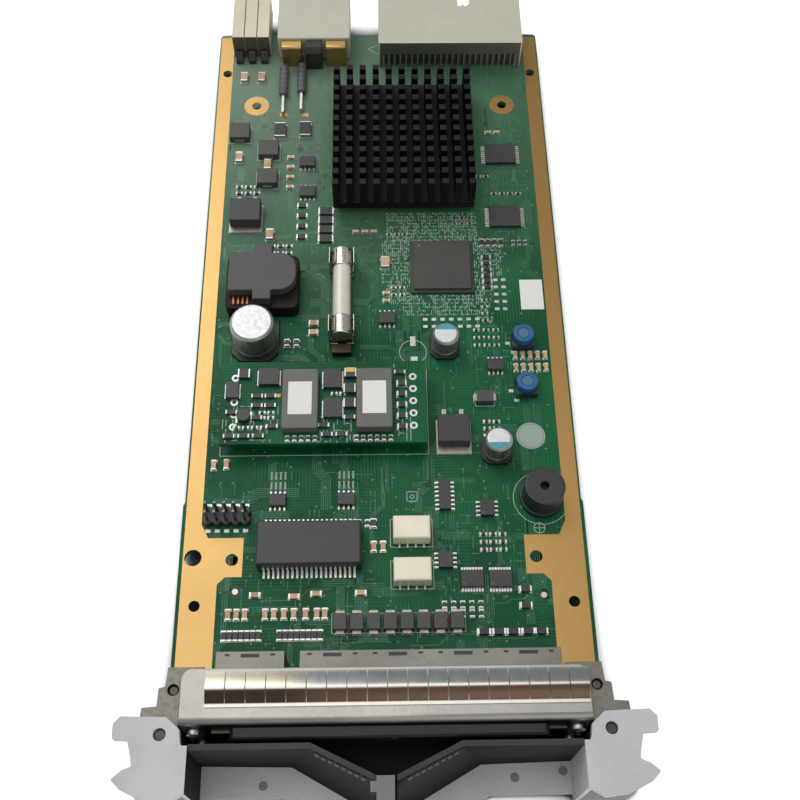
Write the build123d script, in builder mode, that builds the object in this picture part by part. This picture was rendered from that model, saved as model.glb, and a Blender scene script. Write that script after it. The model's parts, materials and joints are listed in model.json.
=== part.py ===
from build123d import *
import os

# Plug-in interface card lying flat with its component side up. Millimetres.
# X runs across the card, +Y points to the rear connectors, +Z is up.
# The origin is at the middle of the footprint, on the surface that the card lies on.

# Board
board_width = 108.8
board_front_margin = 6.3
board_length = 233.0
board_thickness = 1.6
board_corner = 1.5
widening_at = 173.5
board_lift = 3.4

# Front panel, a folded channel
panel_width = 97.2
panel_height = 25.0
panel_wall = 2.0
flange_wall = 1.5
flange_depth = 13.2
panel_gap = 2.2

# Finger gasket on the upper flange
finger_count = 19
finger_pitch = 4.78
finger_slit = 0.45
gasket_depth = 8.4
gasket_rise = 1.5
gasket_sheet = 0.25
gasket_inset = 0.8

# Lever pair
pivot_out = 3.9
pivot_ahead = 1.9
pin_radius = 1.45
pin_clearance = 0.05
lever_top_plate = 2.2
lever_bottom_plate = 1.6
lever_wall = 1.4
lever_flange = 8.0
lever_reach = 25.3
arm_end_gap = 4.8
ear_clearance = 0.3
ear_radius = 3.9
bracket_plate = 1.5

# Rear connectors
signal_size = (48.0, 24.0, 11.0)
signal_inset = 15.0
power_size = (24.2, 21.0, 9.5)
power_inset = 11.0
wafer_size = (12.6, 20.0, 9.0)
wafer_inset = 10.0
wafer_count = 3
plastic_wall = 1.4

# Front jacks
jack_height = 13.0
jack_depth = 19.6
single_jack_width = 16.9
jack_gap = 3.65
jack_end_left = 6.95
jack_end_right = 5.3
jack_sheet = 0.3
port_width = 11.8
port_height = 8.2
port_depth = 12.0
jack_overhang = 0.6

# Pin-fin heat sink
sink_columns = 11
sink_rows = 12
pin_pitch = 4.2
sink_pin = 2.0
sink_base = 3.0
sink_pin_height = 9.2
processor_size = (31.0, 31.0, 2.4)

# Places on the board, given as x and the distance from the rear edge
signal_x = 23.9
power_x = -21.8
wafer_x = -43.0
sink_place = (7.3, 52.0)
main_chip_place = (18.6, 97.0)
fuse_place = (-11.8, 109.5)
inductor_place = (-35.5, 105.0)
large_capacitor_place = (-37.3, 122.8)
module_place = (-16.5, 146.2)
transformer_place = (-20.0, 187.3)
relay_places = [(7.4, 183.2), (7.4, 194.9)]
buzzer_place = (43.4, 173.4)
header_place = (-42.6, 178.2)
button_places = [(41.5, 123.3), (41.5, 139.2)]
polymer_places = [(18.5, 125.3), (31.9, 159.1)]

# Part sizes
main_chip_size = (19.0, 19.0, 1.9)
memory_size = (9.8, 7.6, 1.1)
memory_places = [(39.0, 53.4), (39.0, 78.4)]
fuse_length = 30.0
fuse_radius = 2.9
fuse_cap_length = 6.4
fuse_height = 5.6
inductor_size = (20.0, 20.0, 8.6)
large_capacitor_radius = 6.3
large_capacitor_height = 11.6
large_capacitor_base = 14.0
polymer_radius = 3.85
polymer_height = 8.6
polymer_base = 8.4
capacitor_base_height = 1.2
module_size = (57.4, 25.8)
module_lift = 5.0
brick_size = (10.0, 18.6, 3.4)
transformer_size = (27.8, 12.2, 5.4)
transformer_leads = 20
lead_pitch = 1.27
relay_size = (10.0, 6.5, 5.2)
relay_leads = 4
relay_pitch = 2.2
buzzer_radius = 5.6
buzzer_height = 9.0
header_columns = 5
header_pitch = 2.54
button_base = 6.2
button_base_height = 2.6
button_radius = 3.0
button_height = 5.0
button_travel = 0.35
button_clearance = 0.08

# Values worked out from the sizes above
panel_half = panel_width / 2
pivot_x = panel_half + pivot_out
board_front_width = panel_width + 2 * board_front_margin
quad_jack_width = panel_width - single_jack_width - jack_gap - jack_end_left - jack_end_right
single_jack_x = -panel_half + jack_end_left + single_jack_width / 2
quad_jack_x = panel_half - jack_end_right - quad_jack_width / 2
board_top = board_lift + board_thickness
panel_front_distance = board_length + panel_gap + panel_wall
pivot_distance = panel_front_distance + pivot_ahead
front_distance = panel_front_distance + lever_reach
signal_overhang = signal_size[1] - signal_inset
board_rear = (front_distance - signal_overhang) / 2
panel_face_y = board_rear - panel_front_distance
pivot_y = board_rear - pivot_distance
ON_TOP = (Align.CENTER, Align.CENTER, Align.MIN)


def spot(place, height=0.0):
    """A place on the board in the card's own frame."""
    return Location((place[0], board_rear - place[1], board_top + height))


def save(shape, label):
    shape.label = label
    export_step(shape, "parts/" + label + ".step")


def blocks(places, size, height=0.0):
    """Equal blocks standing on the board, or some height above it."""
    with Locations(*[spot(place, height) for place in places]):
        Box(*size, align=ON_TOP)


os.makedirs("parts", exist_ok=True)

# Main board with its round corners, the widening near the panel and its holes
hole_places = [(-40.8, 32.0), (40.8, 32.0)]
edge_hole_places = [(-51.2, 17.8), (51.2, 17.8), (-50.0, 202.8), (50.0, 202.8)]
pilot_hole_places = [(-40.8, 190.2), (40.8, 190.2)]
large_hole_place = (-51.2, 189.5)
bracket_screw_inset = 2.0
bracket_screw_distance = 228.4
bracket_screw_places = [(side * (pivot_x - bracket_screw_inset), bracket_screw_distance) for side in (-1, 1)]
mounting_hole = 1.5
edge_hole = 1.5
pilot_hole = 1.7
large_hole = 2.3
screw_radius = 1.5
screw_shank = screw_radius - 0.1


def board_outline():
    """The board seen from above, drawn on the current sketch."""
    half_rear = board_width / 2
    half_front = board_front_width / 2
    rear = board_rear
    step = board_rear - widening_at
    front = board_rear - board_length
    slope = half_front - half_rear
    with BuildLine() as outline:
        Polyline(
            (-half_rear, rear), (half_rear, rear), (half_rear, step), (half_front, step - 2 * slope),
            (half_front, front), (-half_front, front), (-half_front, step - 2 * slope),
            (-half_rear, step), close=True,
        )
    make_face(outline.edges())


def board_holes(height):
    """All the round holes that pass through the board, cut from some height above it."""
    groups = [(hole_places, mounting_hole), (edge_hole_places, edge_hole), (pilot_hole_places, pilot_hole),
              ([large_hole_place], large_hole), (bracket_screw_places, screw_radius)]
    for places, radius in groups:
        with Locations(*[spot(place, height) for place in places]):
            Hole(radius, depth=board_thickness + height)


with BuildPart() as main_board:
    with BuildSketch(Plane.XY.offset(board_lift)):
        board_outline()
    extrude(amount=board_thickness)
    fillet(main_board.edges().filter_by(Axis.Z).group_by(Axis.Y)[-1], board_corner)
    board_holes(0.0)
save(main_board.part, "main_board")

# Gold ground strips along both long edges, with the lugs round the front holes
strip_width = 4.4
strip_thickness = 0.1
strip_inset = 0.5
strip_start = 1.5
lug_start = 184.0
lug_end = 195.0
lug_reach = 16.0
strip_front_width = 9.5
strip_end = 1.0
lug_slope = 4.0
lug_chamfer = 2.0

with BuildPart() as ground_strips:
    with BuildSketch(Plane.XY.offset(board_top)):
        for side in (-1, 1):
            outer = side * (board_width / 2 - strip_inset)
            inner = outer - side * strip_width
            lug_inner = outer - side * lug_reach
            front_inner = outer - side * strip_front_width
            with BuildLine():
                Polyline(
                    (outer, board_rear - strip_start), (inner, board_rear - strip_start),
                    (inner, board_rear - lug_start + lug_slope),
                    (inner - side * lug_chamfer, board_rear - lug_start),
                    (lug_inner, board_rear - lug_start), (lug_inner, board_rear - lug_end),
                    (front_inner - side * lug_chamfer, board_rear - lug_end),
                    (front_inner, board_rear - lug_end - lug_chamfer),
                    (front_inner, board_rear - board_length + strip_end),
                    (outer, board_rear - board_length + strip_end), close=True,
                )
            make_face()
    extrude(amount=strip_thickness)
    board_holes(strip_thickness)
save(ground_strips.part, "ground_strips")

# Brackets under the panel ends: two plates, a boss for the pivot and a web that joins them
bracket_bottom = board_lift - bracket_plate
bracket_top = panel_height - lever_top_plate - ear_clearance
bracket_rear = board_rear - 223.0
web_depth = 1.6
bracket_inner = panel_half - 5.1
bracket_gap = 0.3
bracket_wide = 5.5
web_end = 4.5
bracket_steps = [(-0.4, 0.0), (0.0, -4.6), (1.5, -4.9), (1.7, -9.2), (5.2, -9.4)]

with BuildPart() as right_bracket:
    for level in (bracket_bottom, bracket_top - bracket_plate):
        with BuildSketch(Plane.XY.offset(level)):
            with BuildLine():
                Polyline(
                    (bracket_inner, bracket_rear),
                    *[(pivot_x + x, bracket_rear + y) for x, y in bracket_steps],
                    (pivot_x + bracket_wide, panel_face_y + panel_wall), (pivot_x + web_end, panel_face_y),
                    (panel_half + bracket_gap, panel_face_y),
                    (panel_half + bracket_gap, panel_face_y + panel_wall),
                    (bracket_inner, panel_face_y + panel_wall), close=True,
                )
            make_face()
            with Locations((pivot_x, pivot_y)):
                Circle(ear_radius)
        extrude(amount=bracket_plate)
    with BuildSketch(Plane.XY.offset(bracket_bottom)):
        with Locations((pivot_x, pivot_y)):
            Circle(ear_radius)
        with Locations(((panel_half + pivot_x + web_end) / 2, panel_face_y + web_depth / 2)):
            Rectangle(pivot_x + web_end - panel_half - 2 * bracket_gap, web_depth)
    extrude(amount=bracket_top - bracket_bottom)
    with Locations((pivot_x, pivot_y, bracket_top)):
        Hole(pin_radius, depth=bracket_top - bracket_bottom)
    with Locations(Location((bracket_screw_places[1][0], board_rear - bracket_screw_places[1][1], bracket_top))):
        Hole(screw_shank, depth=bracket_top - bracket_bottom)
save(right_bracket.part, "right_bracket")

with BuildPart() as left_bracket:
    mirror(right_bracket.part, about=Plane.YZ)
save(left_bracket.part, "left_bracket")

# Front panel: face, two flanges with round rear corners, openings for the jacks
jack_seat = board_top
jack_openings = [(single_jack_x, single_jack_width), (quad_jack_x, quad_jack_width)]
opening_margin = 0.3
front_bend = 1.8
flange_corner = 3.0

with BuildPart() as front_panel:
    with BuildSketch(Plane.YZ.offset(-panel_half)):
        with BuildLine():
            Polyline(
                (panel_face_y, 0), (panel_face_y + flange_depth, 0),
                (panel_face_y + flange_depth, flange_wall), (panel_face_y + panel_wall, flange_wall),
                (panel_face_y + panel_wall, panel_height - flange_wall),
                (panel_face_y + flange_depth, panel_height - flange_wall),
                (panel_face_y + flange_depth, panel_height), (panel_face_y, panel_height), close=True,
            )
        make_face()
    extrude(amount=panel_width)
    front_edges = front_panel.edges().filter_by(Axis.X).group_by(Axis.Y)[0]
    fillet(front_edges, front_bend)
    rear_corners = front_panel.edges().filter_by(Axis.Z).group_by(Axis.Y)[-1]
    fillet(rear_corners, flange_corner)
    for x, width in jack_openings:
        with Locations((x, panel_face_y + panel_wall / 2, jack_seat + jack_height / 2)):
            Box(width + 2 * opening_margin, 2 * panel_wall, jack_height + 2 * opening_margin,
                mode=Mode.SUBTRACT)
save(front_panel.part, "front_panel")

# Finger gasket: one bowed strip of sheet, slit between the fingers from its rear edge
gasket_end = 0.4
gasket_length = finger_count * finger_pitch
gasket_rear = panel_face_y + flange_depth - gasket_inset
gasket_front = gasket_rear - gasket_depth
gasket_x = panel_half - gasket_end - gasket_length / 2
crest_share = 0.42
rim_width = 2.5 * gasket_sheet
rim_depth = 0.9

with BuildPart() as emi_gasket:
    with BuildSketch(Plane.YZ.offset(gasket_x - gasket_length / 2)):
        with BuildLine():
            outer_bow = ThreePointArc(
                (gasket_front, panel_height), (gasket_front + gasket_depth * crest_share, panel_height + gasket_rise),
                (gasket_rear, panel_height),
            )
            Line((gasket_rear, panel_height), (gasket_rear - rim_width, panel_height))
            ThreePointArc(
                (gasket_rear - rim_width, panel_height),
                (gasket_front + gasket_depth * crest_share, panel_height + gasket_rise - gasket_sheet),
                (gasket_front + rim_width, panel_height),
            )
            Line((gasket_front + rim_width, panel_height), (gasket_front, panel_height))
        make_face()
    extrude(amount=gasket_length)
    with Locations((gasket_x, gasket_front + rim_depth, panel_height)):
        with GridLocations(finger_pitch, 1, finger_count - 1, 1):
            Box(finger_slit, gasket_depth, 3 * gasket_rise, align=(Align.CENTER, Align.MIN, Align.CENTER),
                mode=Mode.SUBTRACT)
save(emi_gasket.part, "emi_gasket")

# Dark label bar across the top of the panel face
label_bar_length = panel_width - 22.2
label_bar_height = 5.0
label_bar_depth = 3.3
label_bar_x = 0.9
label_bar_corner = 1.2
label_bar_round = 1.0
label_bar_top = panel_height - front_bend

with BuildPart() as label_bar:
    with Locations((label_bar_x, panel_face_y, label_bar_top)):
        Box(label_bar_length, label_bar_depth, label_bar_height, align=(Align.CENTER, Align.MAX, Align.MAX))
    fillet(label_bar.edges().filter_by(Axis.Y), label_bar_corner)
    fillet(label_bar.edges().filter_by(Axis.X).group_by(Axis.Y)[0].sort_by(Axis.Z)[-1], label_bar_round)
save(label_bar.part, "label_bar")

# Levers: a claw in C-section round the ear, and an arm with a leaning wall over a flange
claw_points = [(-1.3, 3.9), (9.4, 4.3), (11.0, 2.6), (10.9, -1.0), (7.3, -1.2), (6.2, -5.2), (5.9, -7.0),
               (8.0, -7.8), (10.4, -9.8), (8.2, -12.0), (2.9, -14.5), (-2.8, -15.2), (-6.6, -13.0),
               (-6.6, -5.4), (-4.9, -1.9), (-4.5, 1.1)]
arm_start = 6.6
arm_rear = 2.2
arm_bend = 28.6
arm_lean = 5.4
start_lean = 0.6
bend_shift = 6.2
lever_corner = 0.55
claw_wall = (2.0, 10.6)
arm_drop = 0.6
tip_drop = 7.4


def arm_line(offset, lean):
    """The line that the arm's wall follows, as seen from above, moved forward by an offset."""
    tip_x = arm_end_gap / 2
    start_x = pivot_x - arm_start
    y = pivot_y - arm_rear - offset
    bend_x = pivot_x - arm_bend - bend_shift * (1 - lean)
    return [(start_x, y), (bend_x, y - start_lean * lean), (tip_x, y - tip_drop - arm_lean * lean)]


def arm_section(level, lean):
    """The wall's section at one level: a bent strip of the wall's thickness."""
    back = arm_line(0.0, lean)
    front = arm_line(lever_wall, lean)
    with BuildSketch(Plane.XY.offset(level)) as section:
        with BuildLine():
            Polyline(*back, *reversed(front), close=True)
        make_face()
    return section.sketch


with BuildPart() as right_lever:
    for level, thickness in ((0, lever_bottom_plate), (panel_height - lever_top_plate, lever_top_plate)):
        with BuildSketch(Plane.XY.offset(level)):
            with BuildLine():
                Polyline(*[(pivot_x + x, pivot_y + y) for x, y in claw_points], close=True)
            make_face()
        extrude(amount=thickness)
    fillet(right_lever.edges().filter_by(Axis.Z), lever_corner)
    inner_x = pivot_x - arm_start
    with Locations((inner_x, pivot_y - arm_rear - 0.4, 0)):
        Box(*claw_wall, panel_height, align=(Align.MIN, Align.MAX, Align.MIN))
    wall_foot = arm_section(0.0, 1.0)
    wall_head = arm_section(panel_height - arm_drop, 0.0)
    loft([wall_foot.face(), wall_head.face()], ruled=True)
    foot_line = arm_line(lever_wall / 2, 1.0)
    with BuildSketch(Plane.XY):
        with BuildLine():
            Polyline(
                (inner_x + 1.0, foot_line[0][1]), *foot_line,
                (foot_line[2][0], panel_face_y - lever_reach),
                (foot_line[1][0] + 1.5, foot_line[1][1] - lever_flange),
                (inner_x + 4.0, foot_line[0][1] - lever_flange - 0.5), close=True,
            )
        make_face()
    extrude(amount=lever_bottom_plate)
    with Locations((pivot_x, pivot_y, panel_height)):
        Hole(pin_radius + pin_clearance, depth=panel_height)
save(right_lever.part, "right_lever")

latch_size = (arm_end_gap - 0.6, 6.6, 16.0)
latch_root = (1.4, 2.4)
latch_back = 1.2

with BuildPart() as left_lever:
    mirror(right_lever.part, about=Plane.YZ)
    with Locations((-arm_end_gap / 2, arm_line(lever_wall, 0.0)[2][1] + latch_back, panel_height)):
        Box(*latch_size, align=(Align.MIN, Align.MAX, Align.MAX))
    with Locations((-arm_end_gap / 2, arm_line(lever_wall, 0.0)[2][1], panel_height - latch_size[2] / 2)):
        Box(*latch_root, latch_size[2], align=(Align.MAX, Align.MAX, Align.CENTER))
save(left_lever.part, "left_lever")

# Pivot pins, pressed into the ears and a little short of the lever plates
pin_recess = 0.9
pin_chamfer = 0.25
for side, label in ((-1, "left_pivot_pin"), (1, "right_pivot_pin")):
    with BuildPart() as pivot_pin:
        with Locations((side * pivot_x, pivot_y, pin_recess)):
            Cylinder(pin_radius, panel_height - 2 * pin_recess, align=ON_TOP)
        chamfer(pivot_pin.edges().filter_by(GeomType.CIRCLE), pin_chamfer)
    save(pivot_pin.part, label)

# Screws: two on the board that hold the brackets, four on the panel face
head_radius = 2.4
head_height = 1.5
face_screw_x = panel_half - 3.2
face_screw_levels = (6.5, 20.0)
face_screw_radius = 1.9
with BuildPart() as screws:
    with Locations(*[spot(place, strip_thickness) for place in bracket_screw_places]):
        Cylinder(head_radius, head_height, align=ON_TOP)
        Cylinder(screw_shank, board_thickness + bracket_plate + strip_thickness,
                 align=(Align.CENTER, Align.CENTER, Align.MAX))
    for x in (-face_screw_x, face_screw_x):
        for z in face_screw_levels:
            with Locations(Plane(origin=(x, panel_face_y, z), z_dir=(0, -1, 0))):
                Cylinder(face_screw_radius, head_height, align=ON_TOP)
save(screws.part, "screws")

# Shielded jacks: a folded shell open to the front, with a moulded insert that has the ports
jack_rear = panel_face_y - jack_overhang + jack_depth
contact_pitch = 1.02
contacts_per_port = 8
contact_size = (0.4, 8.0, 0.5)


def jack_shell(x, width):
    with Locations((x, jack_rear, jack_seat)):
        Box(width, jack_depth, jack_height, align=(Align.CENTER, Align.MAX, Align.MIN))
    with Locations((x, jack_rear - jack_sheet, jack_seat)):
        Box(width - 2 * jack_sheet, jack_depth, jack_height - jack_sheet,
            align=(Align.CENTER, Align.MAX, Align.MIN), mode=Mode.SUBTRACT)


def jack_insert(x, width, ports):
    inner_depth = jack_depth - jack_sheet
    with Locations((x, jack_rear - jack_sheet, jack_seat)):
        Box(width - 2 * jack_sheet, inner_depth, jack_height - jack_sheet,
            align=(Align.CENTER, Align.MAX, Align.MIN))
    pitch = width / ports
    with Locations((x, jack_rear - jack_depth, jack_seat + jack_height / 2)):
        with GridLocations(pitch, 1, ports, 1):
            Box(port_width, port_depth, port_height, align=(Align.CENTER, Align.MIN, Align.CENTER),
                mode=Mode.SUBTRACT)


def jack_contacts(x, width, ports):
    pitch = width / ports
    with Locations((x, jack_rear - jack_depth + port_depth, jack_seat + jack_height / 2 + port_height / 2)):
        with GridLocations(pitch, 1, ports, 1):
            with GridLocations(contact_pitch, 1, contacts_per_port, 1):
                Box(*contact_size, align=(Align.CENTER, Align.MAX, Align.MAX))


with BuildPart() as single_jack_shell:
    jack_shell(single_jack_x, single_jack_width)
save(single_jack_shell.part, "single_jack_shell")

with BuildPart() as quad_jack_shell:
    jack_shell(quad_jack_x, quad_jack_width)
save(quad_jack_shell.part, "quad_jack_shell")

with BuildPart() as single_jack_insert:
    jack_insert(single_jack_x, single_jack_width, 1)
save(single_jack_insert.part, "single_jack_insert")

with BuildPart() as quad_jack_insert:
    jack_insert(quad_jack_x, quad_jack_width, 4)
save(quad_jack_insert.part, "quad_jack_insert")

with BuildPart() as jack_pins:
    jack_contacts(single_jack_x, single_jack_width, 1)
    jack_contacts(quad_jack_x, quad_jack_width, 4)
save(jack_pins.part, "jack_contacts")

# Signal connector: a trough open to the rear, with a key block and a comb of teeth
signal_front = board_rear - signal_inset
key_width = 4.0
key_x = signal_x + 5.0
comb_count = 22
comb_margin = 1.3
comb_tooth = (0.6, 6.0, 4.6)
signal_bay = 9.0
signal_relief = (2.0, 2.0, 6.0)
comb_pitch = (signal_size[0] - 2 * (plastic_wall + comb_margin) - comb_tooth[0]) / (comb_count - 1)

with BuildPart() as signal_connector:
    with Locations((signal_x, signal_front, board_top)):
        Box(*signal_size, align=(Align.CENTER, Align.MIN, Align.MIN))
    with Locations((signal_x, signal_front + signal_size[1], board_top + signal_size[2] / 2)):
        Box(signal_size[0] - 2 * plastic_wall, signal_bay, signal_size[2] - 2 * plastic_wall,
            align=(Align.CENTER, Align.MAX, Align.CENTER), mode=Mode.SUBTRACT)
    with Locations((key_x, signal_front + signal_size[1], board_top + signal_size[2])):
        Box(key_width, 7.0, plastic_wall, align=(Align.CENTER, Align.MAX, Align.MAX), mode=Mode.SUBTRACT)
    with Locations((signal_x, signal_front, board_top)):
        Box(signal_size[0] - 2 * signal_relief[0], *signal_relief[1:], align=(Align.CENTER, Align.MIN, Align.MIN),
            mode=Mode.SUBTRACT)
    fillet(signal_connector.edges().filter_by(Axis.Z).group_by(Axis.Y)[0], 0.8)
save(signal_connector.part, "signal_connector")

with BuildPart() as signal_contacts:
    with Locations((signal_x, signal_front + signal_size[1] - signal_bay, board_top + signal_size[2] / 2)):
        with GridLocations(comb_pitch, 1, comb_count, 1):
            Box(*comb_tooth, align=(Align.CENTER, Align.MIN, Align.CENTER))
save(signal_contacts.part, "signal_contacts")

# Power connector with three plug bays, and its gold contact blocks
power_front = board_rear - power_inset
bay_count = 3
bay_depth = 8.0
bay_pitch = (power_size[0] - 2.0) / bay_count
with BuildPart() as power_connector:
    with Locations((power_x, power_front, board_top)):
        Box(*power_size, align=(Align.CENTER, Align.MIN, Align.MIN))
    with Locations((power_x, power_front + power_size[1], board_top + power_size[2] / 2)):
        with GridLocations(bay_pitch, 1, bay_count, 1):
            Box(bay_pitch - plastic_wall, bay_depth, power_size[2] - 2 * plastic_wall,
                align=(Align.CENTER, Align.MAX, Align.CENTER), mode=Mode.SUBTRACT)
    fillet(power_connector.edges().filter_by(Axis.Z).group_by(Axis.Y)[0], 0.7)
save(power_connector.part, "power_connector")

contact_block = (6.6, 3.4, 8.6)
with BuildPart() as power_contacts:
    for x in (-bay_pitch, bay_pitch):
        with Locations((power_x + x, power_front, board_top)):
            Box(*contact_block, align=(Align.CENTER, Align.MAX, Align.MIN))
    fillet(power_contacts.edges().filter_by(Axis.X).group_by(Axis.Z)[-1].group_by(Axis.Y)[0], 0.9)
save(power_contacts.part, "power_contacts")

# Wafer connector: three thin slabs side by side, each with a row of legs in front
wafer_front = board_rear - wafer_inset
wafer_pitch = wafer_size[0] / wafer_count
with BuildPart() as wafer_connector:
    with Locations((wafer_x, wafer_front, board_top)):
        with GridLocations(wafer_pitch, 1, wafer_count, 1):
            Box(wafer_pitch - 0.25, wafer_size[1], wafer_size[2], align=(Align.CENTER, Align.MIN, Align.MIN))
            with Locations((0, wafer_size[1], wafer_size[2] / 2)):
                Box(1.2, 6.0, wafer_size[2] - 3.0, align=(Align.CENTER, Align.MAX, Align.CENTER),
                    mode=Mode.SUBTRACT)
save(wafer_connector.part, "wafer_connector")

# Black moulded tails in front of the wafers, and the tall one between the power contacts
wafer_tail = (2.4, 3.4, 3.6)
power_tail = (5.4, 4.8, 8.8)
with BuildPart() as connector_tails:
    with Locations((power_x, power_front, board_top)):
        Box(*power_tail, align=(Align.CENTER, Align.MAX, Align.MIN))
    chamfer(connector_tails.edges().filter_by(Axis.X).group_by(Axis.Z)[-1].group_by(Axis.Y)[0], 1.6)
    with Locations((wafer_x, wafer_front, board_top)):
        with GridLocations(wafer_pitch, 1, wafer_count, 1):
            Box(*wafer_tail, align=(Align.CENTER, Align.MAX, Align.MIN))
    tail_tops = connector_tails.edges().filter_by(Axis.X).filter_by_position(
        Axis.Z, board_top + wafer_tail[2] - 0.01, board_top + wafer_tail[2] + 0.01)
    chamfer(tail_tops.group_by(Axis.Y)[0], 2.2)
save(connector_tails.part, "connector_tails")

# Processor and the pin-fin heat sink that sits on it
with BuildPart() as processor:
    blocks([sink_place], processor_size)
save(processor.part, "processor")

sink_width = (sink_columns - 1) * pin_pitch + sink_pin
sink_depth = (sink_rows - 1) * pin_pitch + sink_pin
with BuildPart() as heat_sink:
    with Locations(spot(sink_place, processor_size[2])):
        Box(sink_width, sink_depth, sink_base, align=ON_TOP)
    with BuildSketch(Plane.XY.offset(board_top + processor_size[2] + sink_base)):
        with Locations((sink_place[0], board_rear - sink_place[1])):
            with GridLocations(pin_pitch, pin_pitch, sink_columns, sink_rows):
                Rectangle(sink_pin, sink_pin)
    extrude(amount=sink_pin_height)
save(heat_sink.part, "heat_sink")

# Square chip package and the two memory chips
with BuildPart() as main_chip:
    blocks([main_chip_place], (main_chip_size[0], main_chip_size[1], 0.8))
    blocks([main_chip_place], (main_chip_size[0] - 1.6, main_chip_size[1] - 1.6, main_chip_size[2]))
save(main_chip.part, "main_chip")

with BuildPart() as memory_chips:
    blocks(memory_places, memory_size, 0.1)
save(memory_chips.part, "memory_chips")

# Fuse: ceramic tube, two end caps and two spring clips
fuse_x, fuse_distance = fuse_place
fuse_axis_height = fuse_height
cap_centre = fuse_length / 2 - fuse_cap_length / 2

with BuildPart() as fuse_tube:
    with BuildSketch(Plane(origin=(fuse_x, board_rear - fuse_distance, board_top + fuse_axis_height),
                           z_dir=(0, 1, 0))):
        Circle(fuse_radius - 0.25)
    extrude(amount=fuse_length / 2 - fuse_cap_length, both=True)
save(fuse_tube.part, "fuse_tube")

with BuildPart() as fuse_caps:
    for side in (-1, 1):
        with Locations(Plane(origin=(fuse_x, board_rear - fuse_distance + side * cap_centre,
                                     board_top + fuse_axis_height), z_dir=(0, 1, 0))):
            Cylinder(fuse_radius, fuse_cap_length)
    fillet(fuse_caps.edges().filter_by(GeomType.CIRCLE), 0.4)
save(fuse_caps.part, "fuse_caps")

clip_sheet = 0.5
with BuildPart() as fuse_clips:
    for side in (-1, 1):
        clip_y = board_rear - fuse_distance + side * cap_centre
        with BuildSketch(Plane(origin=(fuse_x, clip_y, board_top), x_dir=(1, 0, 0), z_dir=(0, -1, 0))):
            with Locations((0, fuse_axis_height)):
                Circle(fuse_radius + clip_sheet)
                Circle(fuse_radius, mode=Mode.SUBTRACT)
            with Locations((0, fuse_axis_height + fuse_radius + 0.4)):
                Rectangle(3.6, 3.2, mode=Mode.SUBTRACT)
            with Locations((0, (fuse_axis_height - fuse_radius) / 2)):
                Rectangle(2.4, fuse_axis_height - fuse_radius)
            with Locations((0, 0.3)):
                Rectangle(7.4, 0.6)
        extrude(amount=fuse_cap_length / 2 - 0.6, both=True)
save(fuse_clips.part, "fuse_clips")

# Power inductor: ferrite block on top, dark body with the winding in its front window
core_top = 3.4
with BuildPart() as inductor_core:
    with BuildSketch(Plane.XY.offset(board_top + inductor_size[2] - core_top)):
        with Locations((inductor_place[0] + 0.2, board_rear - inductor_place[1] + 1.6)):
            Rectangle(inductor_size[0], 13.2)
            Rectangle(5.4, 19.4)
    extrude(amount=core_top)
    rounded = inductor_core.edges().filter_by(Axis.Z).group_by(Axis.X)[-1]
    fillet(rounded, 5.2)
save(inductor_core.part, "inductor_core")

with BuildPart() as inductor_body:
    with BuildSketch(Plane.XY.offset(board_top)):
        with Locations((inductor_place[0], board_rear - inductor_place[1])):
            RectangleRounded(inductor_size[0] + 1.6, inductor_size[1] - 1.4, 2.0)
    extrude(amount=inductor_size[2] - core_top)
    with Locations((inductor_place[0] - 5.6, board_rear - inductor_place[1] - inductor_size[1] / 2 + 0.7,
                    board_top + 0.8)):
        Box(5.6, 1.6, 3.6, align=(Align.CENTER, Align.MIN, Align.MIN), mode=Mode.SUBTRACT)
save(inductor_body.part, "inductor_body")

with BuildPart() as inductor_winding:
    window_y = board_rear - inductor_place[1] - inductor_size[1] / 2 + 0.7
    with Locations((inductor_place[0] - 5.6, window_y + 1.6, board_top + 0.8)):
        with GridLocations(1.3, 1, 4, 1):
            Box(1.1, 1.3, 3.4, align=(Align.CENTER, Align.MAX, Align.MIN))
    fillet(inductor_winding.edges().filter_by(Axis.Z).group_by(Axis.Y)[0], 0.35)
save(inductor_winding.part, "inductor_winding")


# Capacitor cans with a groove near the foot, on square moulded bases
def can(place, radius, height):
    base = capacitor_base_height
    with BuildSketch(Plane(origin=(place[0], board_rear - place[1], board_top), x_dir=(1, 0, 0),
                           z_dir=(0, -1, 0))) as section:
        with BuildLine():
            Polyline((0, base), (radius, base), (radius, base + 1.0), (radius - 0.35, base + 1.5),
                     (radius, base + 2.0), (radius, height - 0.7), (radius - 0.7, height), (0, height),
                     close=True)
        make_face()
    revolve(section.sketch, axis=Axis((place[0], board_rear - place[1], board_top), (0, 0, 1)))


def can_base(place, width):
    with BuildSketch(Plane.XY.offset(board_top)) as section:
        with Locations((place[0], board_rear - place[1])):
            Rectangle(width, width)
            with Locations((width / 2, -width / 2), (-width / 2, -width / 2)):
                Rectangle(width * 0.28, width * 0.28, rotation=45, mode=Mode.SUBTRACT)
    extrude(section.sketch, amount=capacitor_base_height)


with BuildPart() as large_capacitor:
    can(large_capacitor_place, large_capacitor_radius, large_capacitor_height)
save(large_capacitor.part, "large_capacitor")

with BuildPart() as polymer_capacitors:
    for place in polymer_places:
        can(place, polymer_radius, polymer_height)
save(polymer_capacitors.part, "polymer_capacitors")

with BuildPart() as capacitor_bases:
    can_base(large_capacitor_place, large_capacitor_base)
    for place in polymer_places:
        can_base(place, polymer_base)
save(capacitor_bases.part, "capacitor_bases")

# Power module: a raised board on pins, with two tall bricks and its own chips
module_board_thickness = 1.6
module_top = module_lift + module_board_thickness
pin_inset = 3.2
module_pin_rows = 5
module_pin_pitch = 3.85

with BuildPart() as module_board:
    blocks([module_place], (module_size[0], module_size[1], module_board_thickness), module_lift)
save(module_board.part, "module_board")

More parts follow.
